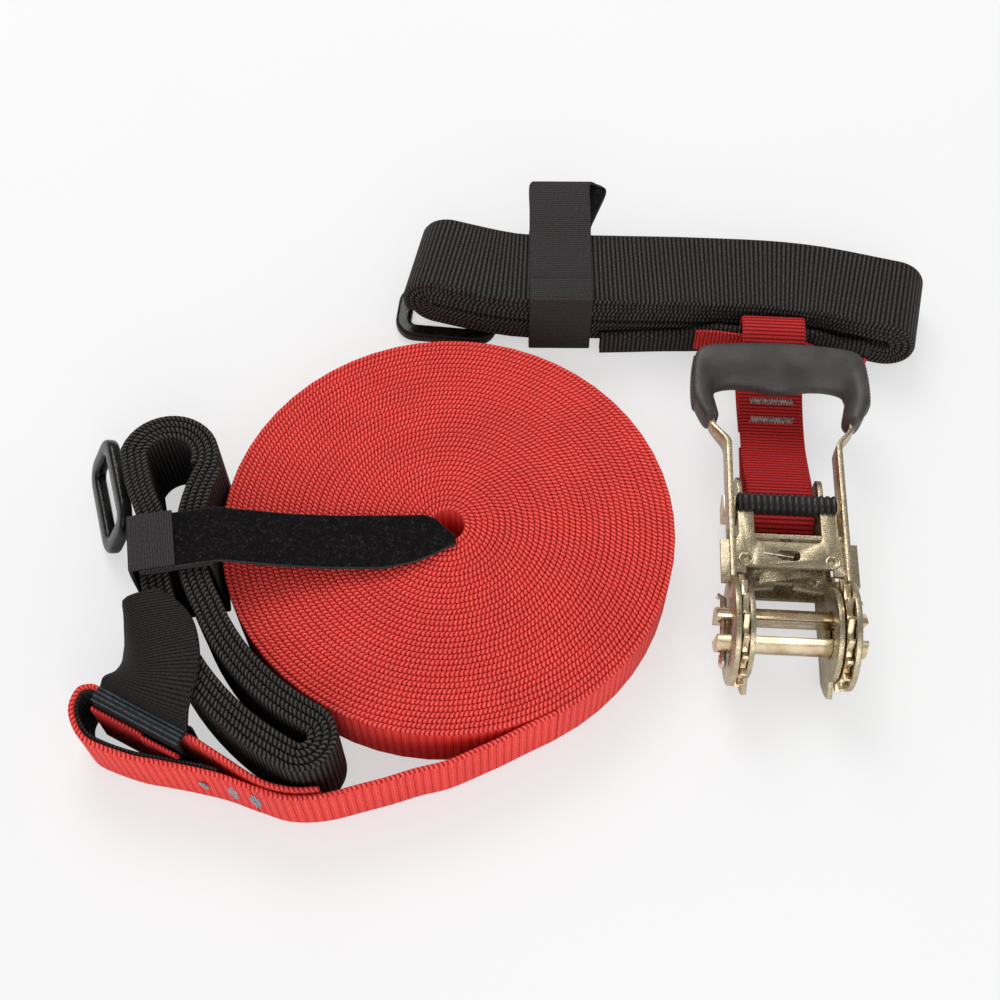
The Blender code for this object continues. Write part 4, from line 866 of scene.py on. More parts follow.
def stitch_tree():
    """Stitches side by side along a line, each pointing along the line's aim attribute."""
    inputs = {
        "Geometry": None, "Spacing": 0.9 * MM, "Length": 2.4 * MM, "Radius": 0.3 * MM, "Zigzag": 0.0,
        "Material": None,
    }
    tree, given, out = new_group("stitches", "GeometryNodeTree", inputs, ("Geometry",))
    curve = tree.add("GeometryNodeMeshToCurve", {"Mesh": given["Geometry"]}).outputs["Curve"]
    even = tree.add("GeometryNodeResampleCurve", {"Curve": curve}, mode="LENGTH")
    tree.drive(even, {"Length": given["Spacing"]})
    odd = tree.math("MODULO", tree.add("GeometryNodeInputIndex").outputs[0], 2.0)
    lean = {"Scale": tree.times(tree.scaled(odd, 2.0, -1.0), given["Zigzag"])}
    aside = tree.add("ShaderNodeVectorMath", lean, operation="SCALE")
    tree.feed(aside.inputs[0], tree.add("GeometryNodeInputTangent").outputs[0])
    aim = tree.add("ShaderNodeVectorMath", operation="ADD")
    tree.feed(aim.inputs[0], read_back(tree, "aim", "FLOAT_VECTOR"))
    tree.feed(aim.inputs[1], aside.outputs[0])
    turn = tree.add("FunctionNodeAlignRotationToVector", {"Vector": aim.outputs[0]}, axis="Z")
    ball = tree.add("GeometryNodeMeshUVSphere", {"Segments": 8, "Rings": 6, "Radius": 1.0}).outputs["Mesh"]
    size = tree.xyz(X=given["Radius"], Y=given["Radius"], Z=tree.times(given["Length"], 0.5))
    inputs = {"Points": even.outputs["Curve"], "Instance": ball, "Rotation": turn.outputs[0], "Scale": size}
    many = tree.add("GeometryNodeInstanceOnPoints", inputs)
    return finish_tree(tree, given, out, many.outputs["Instances"])


def stitches(name, lines, aim, material, node, sizes):
    """Rows of stitches along lines of points, all pointing one way, with sizes in millimetres."""
    points = []
    edges = []
    for line in lines:
        start = len(points)
        points += [tuple(point) for point in line]
        edges += [(index, index + 1) for index in range(start, len(points) - 1)]
    mesh = bpy.data.meshes.new(name)
    mesh.from_pydata(points, edges, [])
    attribute = mesh.attributes.new("aim", "FLOAT_VECTOR", "POINT")
    attribute.data.foreach_set("vector", np.tile(np.array(aim, dtype=float), len(points)))
    spacing, reach, radius, zigzag = sizes
    values = {"Spacing": spacing * MM, "Length": reach * MM, "Radius": radius * MM, "Zigzag": zigzag}
    item = grown(name, mesh, shared_group("stitches", stitch_tree), {**values, "Material": material})
    return dress(item, node, stands=False)


# The line

COIL_END_ANGLE = math.radians(-62.0)
SOLID_LINE_THICKNESS = 2.15 * MM
LINER_THICKNESS = 1.2 * MM
LINER_WIDTH = 24.4 * MM
LINER_LINES = 4
LINER_START = 10
LINER_END = 36
LINE_WOBBLE = 0.12 * MM
EYE_LIFT = 3.9 * MM

# Routes beside the coil: how far from its outer face, and at which angle round it
TAIL_ROUTE = [(5.4, 274.3), (10.7, 263.9), (17.9, 255.7), (26.2, 248.5), (30.9, 243.4), (33.5, 237.8)]
EYE_ROUTE = [
    (36.2, 232.8), (40.4, 228.4), (47.1, 223.8), (53.2, 220.2), (58.9, 216.5),
    (61.9, 214.0), (62.3, 211.3), (60.6, 209.2), (56.4, 207.8), (52.8, 208.2),
]
STRAND = [(49.8, 209.8), (34.7, 224.3)]
STRAND_SHARES = (-0.06, 0.0, 0.33, 0.67, 1.0, 1.1)
EYE_LIFTS = ((0.0, 0.0), (0.36, 0.0), (0.5, 0.6), (0.56, 1.0), (0.84, 1.0), (0.9, 0.4), (1.0, 0.0))

# Tacks of the eye: how far from the coil's face, at which angle, and their lowest and highest
# points, then each tack's columns: how far along and which share of the height. The sizes of
# stitches are their spacing, length and radius, and their zigzag as a share
EYE_TACKS = [(41.2, 229.0, 12.0, 16.0), (36.9, 233.4, 8.0, 18.5), (35.1, 237.4, 8.0, 19.5)]
EYE_TACK_COLUMNS = ((0.2, 0.5), (1.1, 1.0), (2.0, 0.95), (2.9, 0.55))
EYE_TACK_AHEAD = (-0.6, 1.0)
EYE_TACK_POINTS = 6
EYE_STITCHES = (0.8, 1.9, 0.3, 0.35)
BLUE_THREAD = ((0.10, 0.19, 0.24), (0.30, 0.44, 0.50))


def beside_coil(points):
    """Places beside the coil: each given by how far from its outer face it is, and at which angle."""
    radius = settings("line").coil_radius
    out = []
    for away, angle, *height in points:
        spot = heading(math.radians(angle)) * (radius + away * MM)
        out.append((*spot, *(value * MM for value in height)))
    return out


def eye_strand():
    """The straight strand of the line's eye that the sling's end wraps."""
    return [np.array(point) for point in beside_coil(STRAND)]


def tail_points(steps):
    reach = settings("line").coil_radius - SOLID_LINE_THICKNESS / 2
    way = heading(COIL_END_ANGLE)
    return curve_through([way * reach - left_of(way) * SEAT_GAP, *beside_coil(TAIL_ROUTE)], steps)


def eye_points(steps):
    """The eye's path from the tail round and back beside it, and how high it is held."""
    tail = tail_points(TAIL_STEPS_AT_EYE)
    first, last = eye_strand()
    out = [tail[-1] + unit(tail[-1] - tail[-2]) * SEAT_GAP, *beside_coil(EYE_ROUTE)]
    out += [tuple(first + (last - first) * share) for share in STRAND_SHARES]
    met = tail[-1 - 2 * TAIL_STEPS_AT_EYE :: TAIL_STEPS_AT_EYE]
    out += list(offset_path(met, -SOLID_LINE_THICKNESS - LAYER_GAP)[::-1])
    points = curve_through(out, steps)
    return points, graded(EYE_LIFTS, np.linspace(0.0, 1.0, len(points)), EYE_LIFT)


class SLACKLINE_OT_line_coil(bpy.types.Operator):
    """Wind the red line in its coil"""

    bl_idname = "slackline.line_coil"
    bl_label = "Coil of the line"

    def execute(self, context):
        line = settings("line")
        outer = line.coil_radius - SOLID_LINE_THICKNESS / 2
        values = {
            "Turns": float(line.turns), "Steps": line.steps, "Bore Radius": line.bore_radius,
            "Outer Radius": outer, "Width": line.width, "Thickness": line.thickness,
            "End Angle": COIL_END_ANGLE, "Unevenness": line.unevenness, "Seed": 3.0,
            "Material": woven("red line"),
        }
        mesh = bpy.data.meshes.new("coiled_line")
        item = grown("coiled_line", mesh, shared_group("wound webbing", winding_tree), values)
        item.data.transform(Matrix.Translation(COIL_PLACE))
        outward(item.data)
        dress(item, "line_coil")
        return {"FINISHED"}


class SLACKLINE_OT_line_ends(bpy.types.Operator):
    """Lay the line's tail and its sewn eye with the black liner"""

    bl_idname = "slackline.line_ends"
    bl_label = "Tail and eye of the line"

    def execute(self, context):
        line = settings("line")
        red = woven("red line")
        grid = standing(tail_points(TAIL_STEPS), 0.0, line.width)
        webbing("line_tail_webbing", grid, line.thickness, red, "line_tail", LINE_WOBBLE)
        points, low = eye_points(EYE_STEPS)
        grid = standing(points, low, line.width)
        webbing("line_eye_webbing", grid, line.thickness, red, "line_eye", LINE_WOBBLE)
        inside = offset_path(points, -(SOLID_LINE_THICKNESS / 2 + SEAT_GAP / 2 + LINER_THICKNESS / 2))
        lined = slice(LINER_START, len(points) - LINER_END)
        grid = standing(inside[lined], low[lined], LINER_WIDTH, LINER_LINES)
        webbing("line_eye_lining", grid, LINER_THICKNESS, woven("black liner"), "line_eye_liner")
        lines = []
        for away, angle, low_at, high_at in EYE_TACKS:
            further = (away + EYE_TACK_AHEAD[0], angle + EYE_TACK_AHEAD[1])
            point, ahead = [np.array(spot) for spot in beside_coil([(away, angle), further])]
            for shift, share in EYE_TACK_COLUMNS:
                spot = point + unit(ahead - point) * shift * MM
                trim = (high_at - low_at) * (1.0 - share) / 2
                heights = np.linspace(low_at + trim, high_at - trim, EYE_TACK_POINTS) * MM
                lines.append(np.array([(*spot, height) for height in heights]) + COIL_PLACE)
        blue = thread("blue thread", *BLUE_THREAD)
        stitches("line_eye_tacks", lines, (0.0, 0.0, 1.0), blue, "line_eye", EYE_STITCHES)
        return {"FINISHED"}


# The left sling. Each row of a graded table is a share of the hank's run and the value there

HANK_STAND_OFF = 0.5 * MM
BEND_STEPS = 18
RUN_STEPS = 24
LEAD_IN_STEP = 6
LINING_THICKNESS = 1.4 * MM
SWAY_LIFT = 0.35 * MM
SWAY_LENGTH = 31.0 * MM
LEFT_HANK_START = math.radians(167.6)
LEFT_HANK_STOP = math.radians(241.5)
LEFT_HANK_HALVES = ((0.0, 19.4), (0.1, 15.4), (0.2, 11.4), (0.4, 11.4), (0.5, 12.0), (1.0, 12.0))
LEFT_TIE_ROOM = ((0.0, 0.0), (0.1, 0.6), (0.2, 1.0), (0.4, 1.0), (0.5, 0.4), (1.0, 0.0))

# The band of the left sling's end: its outer edge, the crease over the hank's corner and its inner edge
LEFT_BAND_OUTER = [
    (31.9, 199.0, 14), (37.0, 202.3, 18), (40.0, 205.8, 21.5), (43.5, 207.8, 26), (47.0, 208.7, 30.5),
]
LEFT_BAND_CREASE = [
    (31.7, 199.0, 38.4), (31.3, 203.0, 38.0), (31.6, 208.5, 37.6), (33.0, 212.5, 37.4), (38.0, 215.0, 36.6),
]
LEFT_BAND_INNER = [
    (19.0, 199.0, 38.8), (13.2, 205.0, 38.0), (13.2, 210.8, 37.4), (18.5, 217.4, 37.2), (28.6, 222.3, 36.9),
]
LINING_STEP_SHARE = 0.58
LINING_POINTS = 40
SEAM_ROWS = 4
SEAM_POINTS = 12
SEAM_START = 0.6 * MM
SEAM_PITCH = 1.45 * MM
FIRST_SEAM_DROP = 0.9 * MM
SEAM_INSET_SHARE = 0.04
SEAM_STITCHES = (1.5, 2.6, 0.36, 0.0)
DARK_THREAD = ((0.010, 0.018, 0.028), (0.035, 0.058, 0.085))

# The left tie's end: its distance from the coil's middle and its height, then for its tip such
# a distance and the shares of the width on the far and the near side
LEFT_TIE_SHARES = (0.2, 0.4)
LEFT_TIE_ROUTE = [
    (80, 40.4), (70, 37.4), (56, 33.2), (40, 30.0), (25, 28.4), (16, 27.6), (9, 27.1), (3, 26.8),
    (-2.0, 26.6),
]
LEFT_TIE_DRIFT_SHARE = 0.11
LEFT_TIE_SHIFT = -1.3 * MM
LEFT_TIE_TIP = [
    (-2.0, 0.15, 0.15), (1.0, 0.48, 0.28), (4.0, 0.85, 0.4), (7.5, 1.0, 0.56), (14.0, 1.0, 0.8),
    (25.0, 1.0, 1.0),
]
OVAL_PLACE_SHARE = 0.42
OVAL_HALVES = (3.4 * MM, 5.2 * MM)
OVAL_POINTS = 25
OVAL_STITCHES = (0.7, 1.6, 0.24, 0.0)
BLACK_THREAD = ((0.004, 0.004, 0.004), (0.014, 0.013, 0.013))


def tie_room():
    return settings("tie").thickness + 2 * SEAT_GAP


def hank_loops(loops, pitch, half_at):
    """Places along and across a hank, wound from its outer layer to its inner one.

    The first value is the share of the run, the second how far past an end the
    bend reaches, and the third how far from the run's middle the strip lies.
    """
    steps_in_half = RUN_STEPS + BEND_STEPS
    out = []
    for step in range(round(loops * 2 * steps_in_half) + 1):
        inset = pitch * step / (2 * steps_in_half)
        back, at = divmod(step % (2 * steps_in_half), steps_in_half)
        side = 1.0 - 2.0 * back
        if at <= RUN_STEPS:
            share = (RUN_STEPS - at if back else at) / RUN_STEPS
            out.append((share, 0.0, side * (half_at(share) - inset)))
        else:
            reach = half_at(1.0 - back) - inset
            way = heading(math.pi * (at - RUN_STEPS) / BEND_STEPS) * reach * side
            out.append((1.0 - back, way[1], way[0]))
    return out


def lead_in(half):
    """The start of a hank's outer layer, which comes round from its first bend."""
    ways = [heading(math.pi * step / BEND_STEPS) * half for step in range(LEAD_IN_STEP, BEND_STEPS)]
    return [(0.0, -way[1], -way[0]) for way in ways]


def left_hank_half(share):
    return graded(LEFT_HANK_HALVES, share, MM)


def left_hank_lift(share):
    return graded(LEFT_TIE_ROOM, share) * tie_room()


def left_hank_spot(share):
    """The way from the coil's middle to a place on the left hank's middle, and how far out it lies."""
    way = heading(LEFT_HANK_START + (LEFT_HANK_STOP - LEFT_HANK_START) * share)
    beside = settings("line").coil_radius + HANK_STAND_OFF
    half = settings("sling").solid_thickness / 2
    return way, beside + left_hank_lift(share) + half + left_hank_half(share)


class SLACKLINE_OT_left_hank(bpy.types.Operator):
    """Wind the left sling in its hank"""

    bl_idname = "slackline.left_hank"
    bl_label = "Left sling's hank"

    def execute(self, context):
        sling = settings("sling")
        plan = []
        low = []
        for share, past, aside in hank_loops(sling.left_loops, sling.pitch, left_hank_half):
            way, out = left_hank_spot(share)
            plan.append(way * out - way * aside + left_of(way) * past)
            low.append(left_hank_lift(share))
        sway = (1.0 + np.sin(run_length(np.array(plan)) / SWAY_LENGTH)) / 2
        grid = standing(plan, np.array(low) + SWAY_LIFT * sway, sling.width)
        webbing("left_sling_webbing", grid, sling.thickness, woven("black sling"), "left_sling_hank")
        return {"FINISHED"}


class SLACKLINE_OT_left_eye(bpy.types.Operator):
    """Wrap the left sling's end round the line's eye, with its red lining and its seams"""

    bl_idname = "slackline.left_eye"
    bl_label = "Left sling's end"

    def execute(self, context):
        half = settings("sling").solid_thickness / 2
        start, stop = eye_strand()
        along = unit(stop - start)
        front = -left_of(along)
        back = SOLID_LINE_THICKNESS / 2 + 2 * SEAT_GAP + half
        out = SOLID_LINE_THICKNESS / 2 + SEAT_GAP + LINER_THICKNESS + 2 * SEAT_GAP + half
        top = EYE_LIFT + settings("line").width + 2 * SEAT_GAP + half
        under = EYE_LIFT - SEAT_GAP - half
        bend = 2 * half
        middle = (top + under) / 2
        wrap = [
            (bend - back, top), (out - bend, top), (out, top - bend), (out, middle), (out, under + bend),
            (out - bend, under), (bend - back, under), (-back, under + bend), (-back, middle),
            (-back, top - 2 * bend),
        ]
        columns = []
        bands = ((start, LEFT_BAND_OUTER), ((start + stop) / 2, LEFT_BAND_CREASE), (stop, LEFT_BAND_INNER))
        for corner, band in bands:
            rows = [(*(corner + front * reach), height) for reach, height in wrap]
            columns.append(curve_through(beside_coil(band) + rows, BAND_STEPS))
        grid = curve_through(columns, BAND_LINES)
        webbing("left_sling_end", grid, 2 * half, woven("black band"), "left_sling_eye")
        shares = np.linspace(0.0, 1.0, LINING_POINTS)[:, None]
        lining = out + half + SEAT_GAP + LINING_THICKNESS / 2
        plan = start + (stop - start) * shares
        plan = plan + front * (lining + LINING_THICKNESS / 2 * (shares > LINING_STEP_SHARE))
        heights = np.linspace(under - half, top - 2 * bend, LYING_LINES)
        grid = [np.column_stack([plan, np.full(len(plan), height)]) for height in heights]
        webbing("left_sling_end_lining", grid, LINING_THICKNESS, woven("red lining"), "left_sling_eye_lining")
        lines = []
        for row in range(SEAM_ROWS):
            reach = out + half - SEAM_START - row * SEAM_PITCH
            height = top + half - FIRST_SEAM_DROP * (row == 0)
            first, last = [np.array([*(corner + front * reach), height]) for corner in (start, stop)]
            inset = (last - first) * SEAM_INSET_SHARE
            lines.append(np.linspace(first + inset, last - inset, SEAM_POINTS) + COIL_PLACE)
        dark = thread("dark thread", *DARK_THREAD)
        stitches("left_sling_end_seams", lines, (*along, 0.0), dark, "left_sling_eye", SEAM_STITCHES)
        return {"FINISHED"}


def wrap_path(inner, outer, low, high, clear, start, layers, pitch):
    """A strap round a bundle, seen from its end: from its top, round it and back over its top."""
    top = high + clear
    bottom = low - clear
    left = outer + clear
    right = inner - clear
    corner = clear + pitch / 2
    upper = top + layers * pitch
    return [
        (start, upper), (left - corner, upper), (left, upper - corner), (left, (upper + bottom) / 2),
        (left, bottom + corner), (left - corner, bottom), (right + corner, bottom), (right, bottom + corner),
        (right, (top + bottom) / 2), (right, top - corner), (right + corner, top),
    ]


class SLACKLINE_OT_left_tie(bpy.types.Operator):
    """Wrap the left hank's tie and lay its end over the coil"""

    bl_idname = "slackline.left_tie"
    bl_label = "Left tie"

    def execute(self, context):
        tie = settings("tie")
        spots = [way * out for way, out in map(left_hank_spot, LEFT_TIE_SHARES)]
        centre = (spots[0] + spots[1]) / 2
        middle = float(np.linalg.norm(centre))
        way = centre / middle
        onward = left_of(way)
        reach = left_hank_half(LEFT_TIE_SHARES[0]) + settings("sling").solid_thickness / 2
        clear = tie.thickness / 2 + SEAT_GAP
        pitch = tie.thickness + LAYER_GAP
        high = tie_room() + settings("sling").width
        top = high + clear
        fold = middle + reach - 2 * pitch
        wrap = wrap_path(middle - reach, middle + reach, tie_room(), high, clear, middle - pitch, 2, pitch)
        wrap += [(fold, top), (fold + pitch / 2, top + pitch / 2)]
        over = [(fold, top + pitch), (middle - reach, top + pitch)] + route(LEFT_TIE_ROUTE)
        tip_reach, far_shares, near_shares = np.array(LEFT_TIE_TIP).T
        rows = []
        for index, (distance, height) in enumerate(curve_through(wrap + over, TIE_STEPS)):
            drift = LEFT_TIE_SHIFT
            far = near = tie.left_width / 2
            if index > TIE_STEPS * len(wrap):
                drift += max(0.0, middle - reach - distance) * LEFT_TIE_DRIFT_SHARE
                far *= np.interp(distance, tip_reach * MM, far_shares)
                near *= np.interp(distance, tip_reach * MM, near_shares)
            spot = way * distance + onward * drift
            rows.append((spot - onward * far, spot + onward * near, height))
        webbing("left_tie_tape", lying(rows), tie.thickness, tape(), "left_sling_tie")
        upper = top + 2 * pitch + tie.thickness / 2
        oval = []
        for angle in np.linspace(0.0, 2 * math.pi, OVAL_POINTS):
            spot = way * (middle + reach * OVAL_PLACE_SHARE + OVAL_HALVES[0] * math.cos(angle))
            spot = spot + onward * (LEFT_TIE_SHIFT + OVAL_HALVES[1] * math.sin(angle))
            oval.append((*spot, upper))
        dark = thread("black thread", *BLACK_THREAD)
        lines = [np.array(oval) + COIL_PLACE]
        stitches("left_tie_stitches", lines, (*way, 0.0), dark, "left_sling_tie", OVAL_STITCHES)
        return {"FINISHED"}


# The right sling

RIGHT_HANK_HALF = 12.1 * MM
RIGHT_HANK_AHEAD = 0.02
RING_ROD = 4.8 * MM

# The right hank's middle seen from above, at shares of its run
RIGHT_HANK_ROUTE = [
    (0.0, -3.5, 121.5), (0.1, 13.0, 118.0), (0.2, 30.0, 116.5), (0.4, 59.0, 116.2), (0.6, 105.0, 116.5),
    (0.8, 142.0, 113.5), (1.0, 177.0, 105.0),
]
RIGHT_RING_LIFT = ((0.0, 1.0), (0.1, 0.75), (0.2, 0.3), (0.4, 0.0), (1.0, 0.0))
RIGHT_TIE_ROOM = ((0.0, 0.0), (0.1, 0.5), (0.2, 1.0), (0.4, 1.0), (0.6, 0.0), (1.0, 0.0))
RIGHT_TIE_SHARE = 0.3
RIGHT_TIE_LOOP = 21.0 * MM
RIGHT_TIE_SKEW = 7.0 * MM

# The tie's loop in layers: from the hank to where the loop opens, and how high its way back stands there
# and at the hank
RIGHT_TIE_OPENING = 4
RIGHT_TIE_RETURN = (2.4, 0.6)

RIGHT_EYE_ROUTE = [
    (167, 87.0), (160, 88.4), (152, 89.7), (144, 90.4), (136, 90.9), (124, 91.4),
    (115, 92.2), (106, 94.6), (98, 96.0), (86, 96.3), (72, 96.1), (60, 96.0),
]
RIGHT_EYE_LIFTS = ((0.0, 0.0), (0.14, 0.0), (0.27, 1.0), (0.55, 1.0), (0.75, 0.2), (1.0, 0.0))
RIGHT_EYE_HEIGHTS = ((0.0, 0.47), (0.64, 0.47), (0.78, 0.34), (1.0, 0.32))
RIGHT_EYE_FOLD = 3.3

# The fold's section: shares of half its thickness and of its height, where more than 1 is its round top
RIGHT_EYE_SECTION = [
    (1.0, 0.0), (1.0, 0.33), (1.0, 0.66), (1.0, 1.0), (0.71, 1.2), (0.0, 1.3), (-0.71, 1.2),
    (-1.0, 1.0), (-1.0, 0.66), (-1.0, 0.33), (-1.0, 0.0),
]

RIGHT_LINED_SHARE = 0.74
RIGHT_LINING_LIFT = 4.1 * MM
RIGHT_LINING_WIDTH = 12.0 * MM
RIGHT_LINING_WIDTHS = ((0.0, 0.75), (0.24, 0.75), (0.38, 1.0), (1.0, 1.0))
RIGHT_LINING_LIFTS = ((0.0, 0.3), (0.24, 0.3), (0.38, 1.0), (1.0, 1.0))


def right_hank_low(share):
    """How high the right hank is held at a share of its run, by its ring and its tie."""
    ring = graded(RIGHT_RING_LIFT, share) * (RING_ROD + 2 * SEAT_GAP)
    return max(ring, graded(RIGHT_TIE_ROOM, share) * tie_room())


def right_hank_frame(share):
    """The middle of the right hank seen from above, and the way along it."""
    spots = curve_through(np.array(RIGHT_HANK_ROUTE) * (1.0, MM, MM), SLING_STEPS)

    def spot(at):
        return np.array([np.interp(at, spots[:, 0], spots[:, axis]) for axis in (1, 2)])

    ahead = spot(min(1.0, share + RIGHT_HANK_AHEAD)) - spot(max(0.0, share - RIGHT_HANK_AHEAD))
    return spot(share), unit(ahead)


class SLACKLINE_OT_right_hank(bpy.types.Operator):
    """Wind the right sling in its hank"""

    bl_idname = "slackline.right_hank"
    bl_label = "Right sling's hank"

    def execute(self, context):
        sling = settings("sling")
        rows = []
        loops = hank_loops(sling.right_loops, sling.pitch, lambda share: RIGHT_HANK_HALF)
        for share, past, aside in lead_in(RIGHT_HANK_HALF) + loops:
            middle, along = right_hank_frame(share)
            across = left_of(along) * sling.width / 2
            spot = middle + along * past
            height = right_hank_low(share) + RIGHT_HANK_HALF + sling.solid_thickness / 2 + aside
            rows.append((spot - across, spot + across, height))
        webbing("right_sling_webbing", lying(rows), sling.thickness, woven("black sling"), "right_sling_hank")
        return {"FINISHED"}


class SLACKLINE_OT_right_tie(bpy.types.Operator):
    """Wrap the right hank's tie with its loop behind"""

    bl_idname = "slackline.right_tie"
    bl_label = "Right tie"

    def execute(self, context):
        tie = settings("tie")
        sling = settings("sling")
        middle, along = right_hank_frame(RIGHT_TIE_SHARE)
        clear = tie.thickness / 2 + SEAT_GAP
        pitch = tie.thickness + LAYER_GAP
        reach = sling.width / 2
        high = tie_room() + 2 * RIGHT_HANK_HALF + sling.solid_thickness
        path = wrap_path(-reach, reach, tie_room(), high, clear, reach / 2, 1, pitch)[:-2]
        far = -reach - RIGHT_TIE_LOOP
        opening = -reach - RIGHT_TIE_OPENING * pitch
        path = [(*spot, 0.0) for spot in path] + [
            (-reach - pitch, high, 0.0), (opening, high + pitch, RIGHT_TIE_SKEW / 3),
            (far, high + pitch, RIGHT_TIE_SKEW), (far - pitch, high + 2 * pitch, RIGHT_TIE_SKEW / 2),
            (far, high + 3 * pitch, 0.0), (opening, high + RIGHT_TIE_RETURN[0] * pitch, 0.0),
            (-reach, high + clear + RIGHT_TIE_RETURN[1] * pitch, 0.0), (-reach / 2, high + clear, 0.0),
            (reach / 2, high + clear, 0.0), (reach - pitch, high + clear, 0.0),
        ]
        rows = []
        for side, height, skew in curve_through(path, TIE_STEPS):
            centre = middle - left_of(along) * side + along * skew
            rows.append((centre - along * tie.width / 2, centre + along * tie.width / 2, height))
        webbing("right_tie_tape", lying(rows), tie.thickness, tape(), "right_sling_tie")
        return {"FINISHED"}


class SLACKLINE_OT_right_eye(bpy.types.Operator):
    """Fold the right sling's end in front of its hank, with its red lining"""

    bl_idname = "slackline.right_eye"
    bl_label = "Right sling's end"

    def execute(self, context):
        sling = settings("sling")
        plan = curve_through(route(RIGHT_EYE_ROUTE), SLING_STEPS)
        at = np.linspace(0.0, 1.0, len(plan))
        low = graded(RIGHT_EYE_LIFTS, at, settings("ratchet").strap_thickness + 5 * SEAT_GAP)
        height = graded(RIGHT_EYE_HEIGHTS, at, sling.width)
        half = sling.solid_thickness / 2
        columns = []
        for aside, up in RIGHT_EYE_SECTION:
            rise = low + min(up, 1.0) * (height - 2 * half) + max(0.0, up - 1.0) * RIGHT_EYE_FOLD * half
            columns.append(np.column_stack([offset_path(plan, aside * half), rise]))
        webbing("right_sling_end", columns, 2 * half, woven("black sling"), "right_sling_eye")
        front = offset_path(plan, 2 * half + SEAT_GAP + LINING_THICKNESS / 2)
        lined = slice(0, int(RIGHT_LINED_SHARE * len(plan)))
        tall = graded(RIGHT_LINING_WIDTHS, at, RIGHT_LINING_WIDTH)[lined]
        lift = graded(RIGHT_LINING_LIFTS, at, RIGHT_LINING_LIFT)[lined]
        grid = standing(front[lined], low[lined] + lift, tall)
        red = woven("red lining")
        webbing("right_sling_end_lining", grid, LINING_THICKNESS, red, "right_sling_eye_lining")
        return {"FINISHED"}


# Rings: each one's place, and its turn about X, Y and Z

RING_LENGTH = 42.0 * MM
RING_BAR = 6.4 * MM
RING_WIDTH = 27.0 * MM
RING_CORNER_RADIUS = 9.0 * MM
RING_ROUND_SHARE = 0.55
RING_SIDES = 24
RING_CORNER_STEPS = 10
LEAST_STEP = 0.1 * MM
RING_PLACES = {
    "left_sling_ring": ((-127.0, 18.5, 12.9), (118.0, 0.0, 107.0)),
    "right_sling_ring": ((-2.6, 112.0, 2.4), (0.0, 0.0, -6.0)),
}


class SLACKLINE_OT_rings(bpy.types.Operator):
    """Make the slings' oval steel rings, with soft edges"""

    bl_idname = "slackline.rings"
    bl_label = "Rings"

    def execute(self, context):
        half = RING_BAR / 2
        high = np.array([RING_LENGTH / 2 - half, RING_WIDTH / 2 - half])
        path = np.array(rounded_box(-high, high, RING_CORNER_RADIUS - half, RING_CORNER_STEPS))
        path = path[[0, *(np.flatnonzero(np.diff(run_length(path)) > LEAST_STEP) + 1)]]
        ahead = unit(np.roll(path, -1, axis=0) - np.roll(path, 1, axis=0))
        sections = []
        for point, way in zip(path, ahead):
            ring = []
            for angle in turns(RING_SIDES):
                wide = squared(math.cos(angle), RING_ROUND_SHARE) * half
                tall = squared(math.sin(angle), RING_ROUND_SHARE) * RING_ROD / 2
                ring.append((*(point - left_of(way) * wide), tall))
            sections.append(ring)
        steel = speckled("black steel", *SPECKLED["black steel"])
        for node, (spot, angles) in RING_PLACES.items():
            mesh = tube_mesh(node + "_bar", sections, closed=True)
            turn = Euler([math.radians(angle) for angle in angles]).to_matrix().to_4x4()
            mesh.transform(Matrix.Translation(np.array(spot) * MM + COIL_PLACE) @ turn)
            place(node + "_bar", mesh, steel, node)
        return {"FINISHED"}


# Ratchet

STRAP_ROUTE = [
    (86, 4.6), (75, 3.9), (64, 4.1), (54, 5.2), (46.5, 6.3), (43.6, 11), (46.5, 15.9), (54, 16.8), (63, 16.0),
    (73, 12.4), (83, 9.2), (92, 8.0), (102, 8.6), (110, 10.6), (117, 15.2), (122.5, 20.8), (128.4, 23.9),
    (134.4, 23.7), (136.4, 20.8), (136.5, 12), (136.5, 3.4), (134.9, 1.35), (129.4, 1.35), (118, 1.35),
    (106, 2.4), (94, 4.4),
]
STRAP_TOP_POINTS = slice(7, 18)
STRAP_WOBBLE = 0.1 * MM
TACK_ROWS = (104.9, 96.8)
TACK_HALF = 8.0 * MM
TACK_RISE = 0.1 * MM
TACK_POINTS = 8
TACK_STITCHES = (0.52, 3.4, 0.36, 0.3)
THREAD_SHADE = 0.35

PLATES = (
    "base_frame", "strap_bolt", "strap_bolt_nut", "stop_pawl", "drum_front_half", "drum_rear_half",
    "left_ratchet_wheel", "right_ratchet_wheel", "handle_frame", "release_pawl",
)
DULL_PLATES = ("base_frame", "stop_pawl", "handle_frame", "release_pawl")
PLATE_SHARP = 38.0
DOUBLES = 0.002 * MM
FLAT_ANGLE = math.radians(1.0)
EASED_ANGLE = math.radians(35)
AXLE_HEIGHT = 20.3 * MM
PAWL_LIFT = 6.865 * MM
PAWL_PLATE = 1.8 * MM
DIMPLE_X = 15.4 * MM
DIMPLE_Y = 24.5 * MM
DIMPLE_RADIUS = 2.3 * MM
DIMPLE_RIM = 0.42 * MM
DIMPLE_SIDES = 24
SPRING_WIRE = 0.4 * MM
FINE_SIDES = 8
LEG_STEPS = 4

# A dimple's hollow: heights in millimetres and shares of its radius
DIMPLE_RINGS = ((-0.6, 0.98), (0.0, 0.98), (0.05, 0.6), (0.12, 0.02))

# The release spring's leg: across, along, and above the pawl's top
SPRING_LEG = [(1.5, 26.1, -0.3), (-3.0, 26.4, 0.4), (-9.2, 27.2, 0.4)]


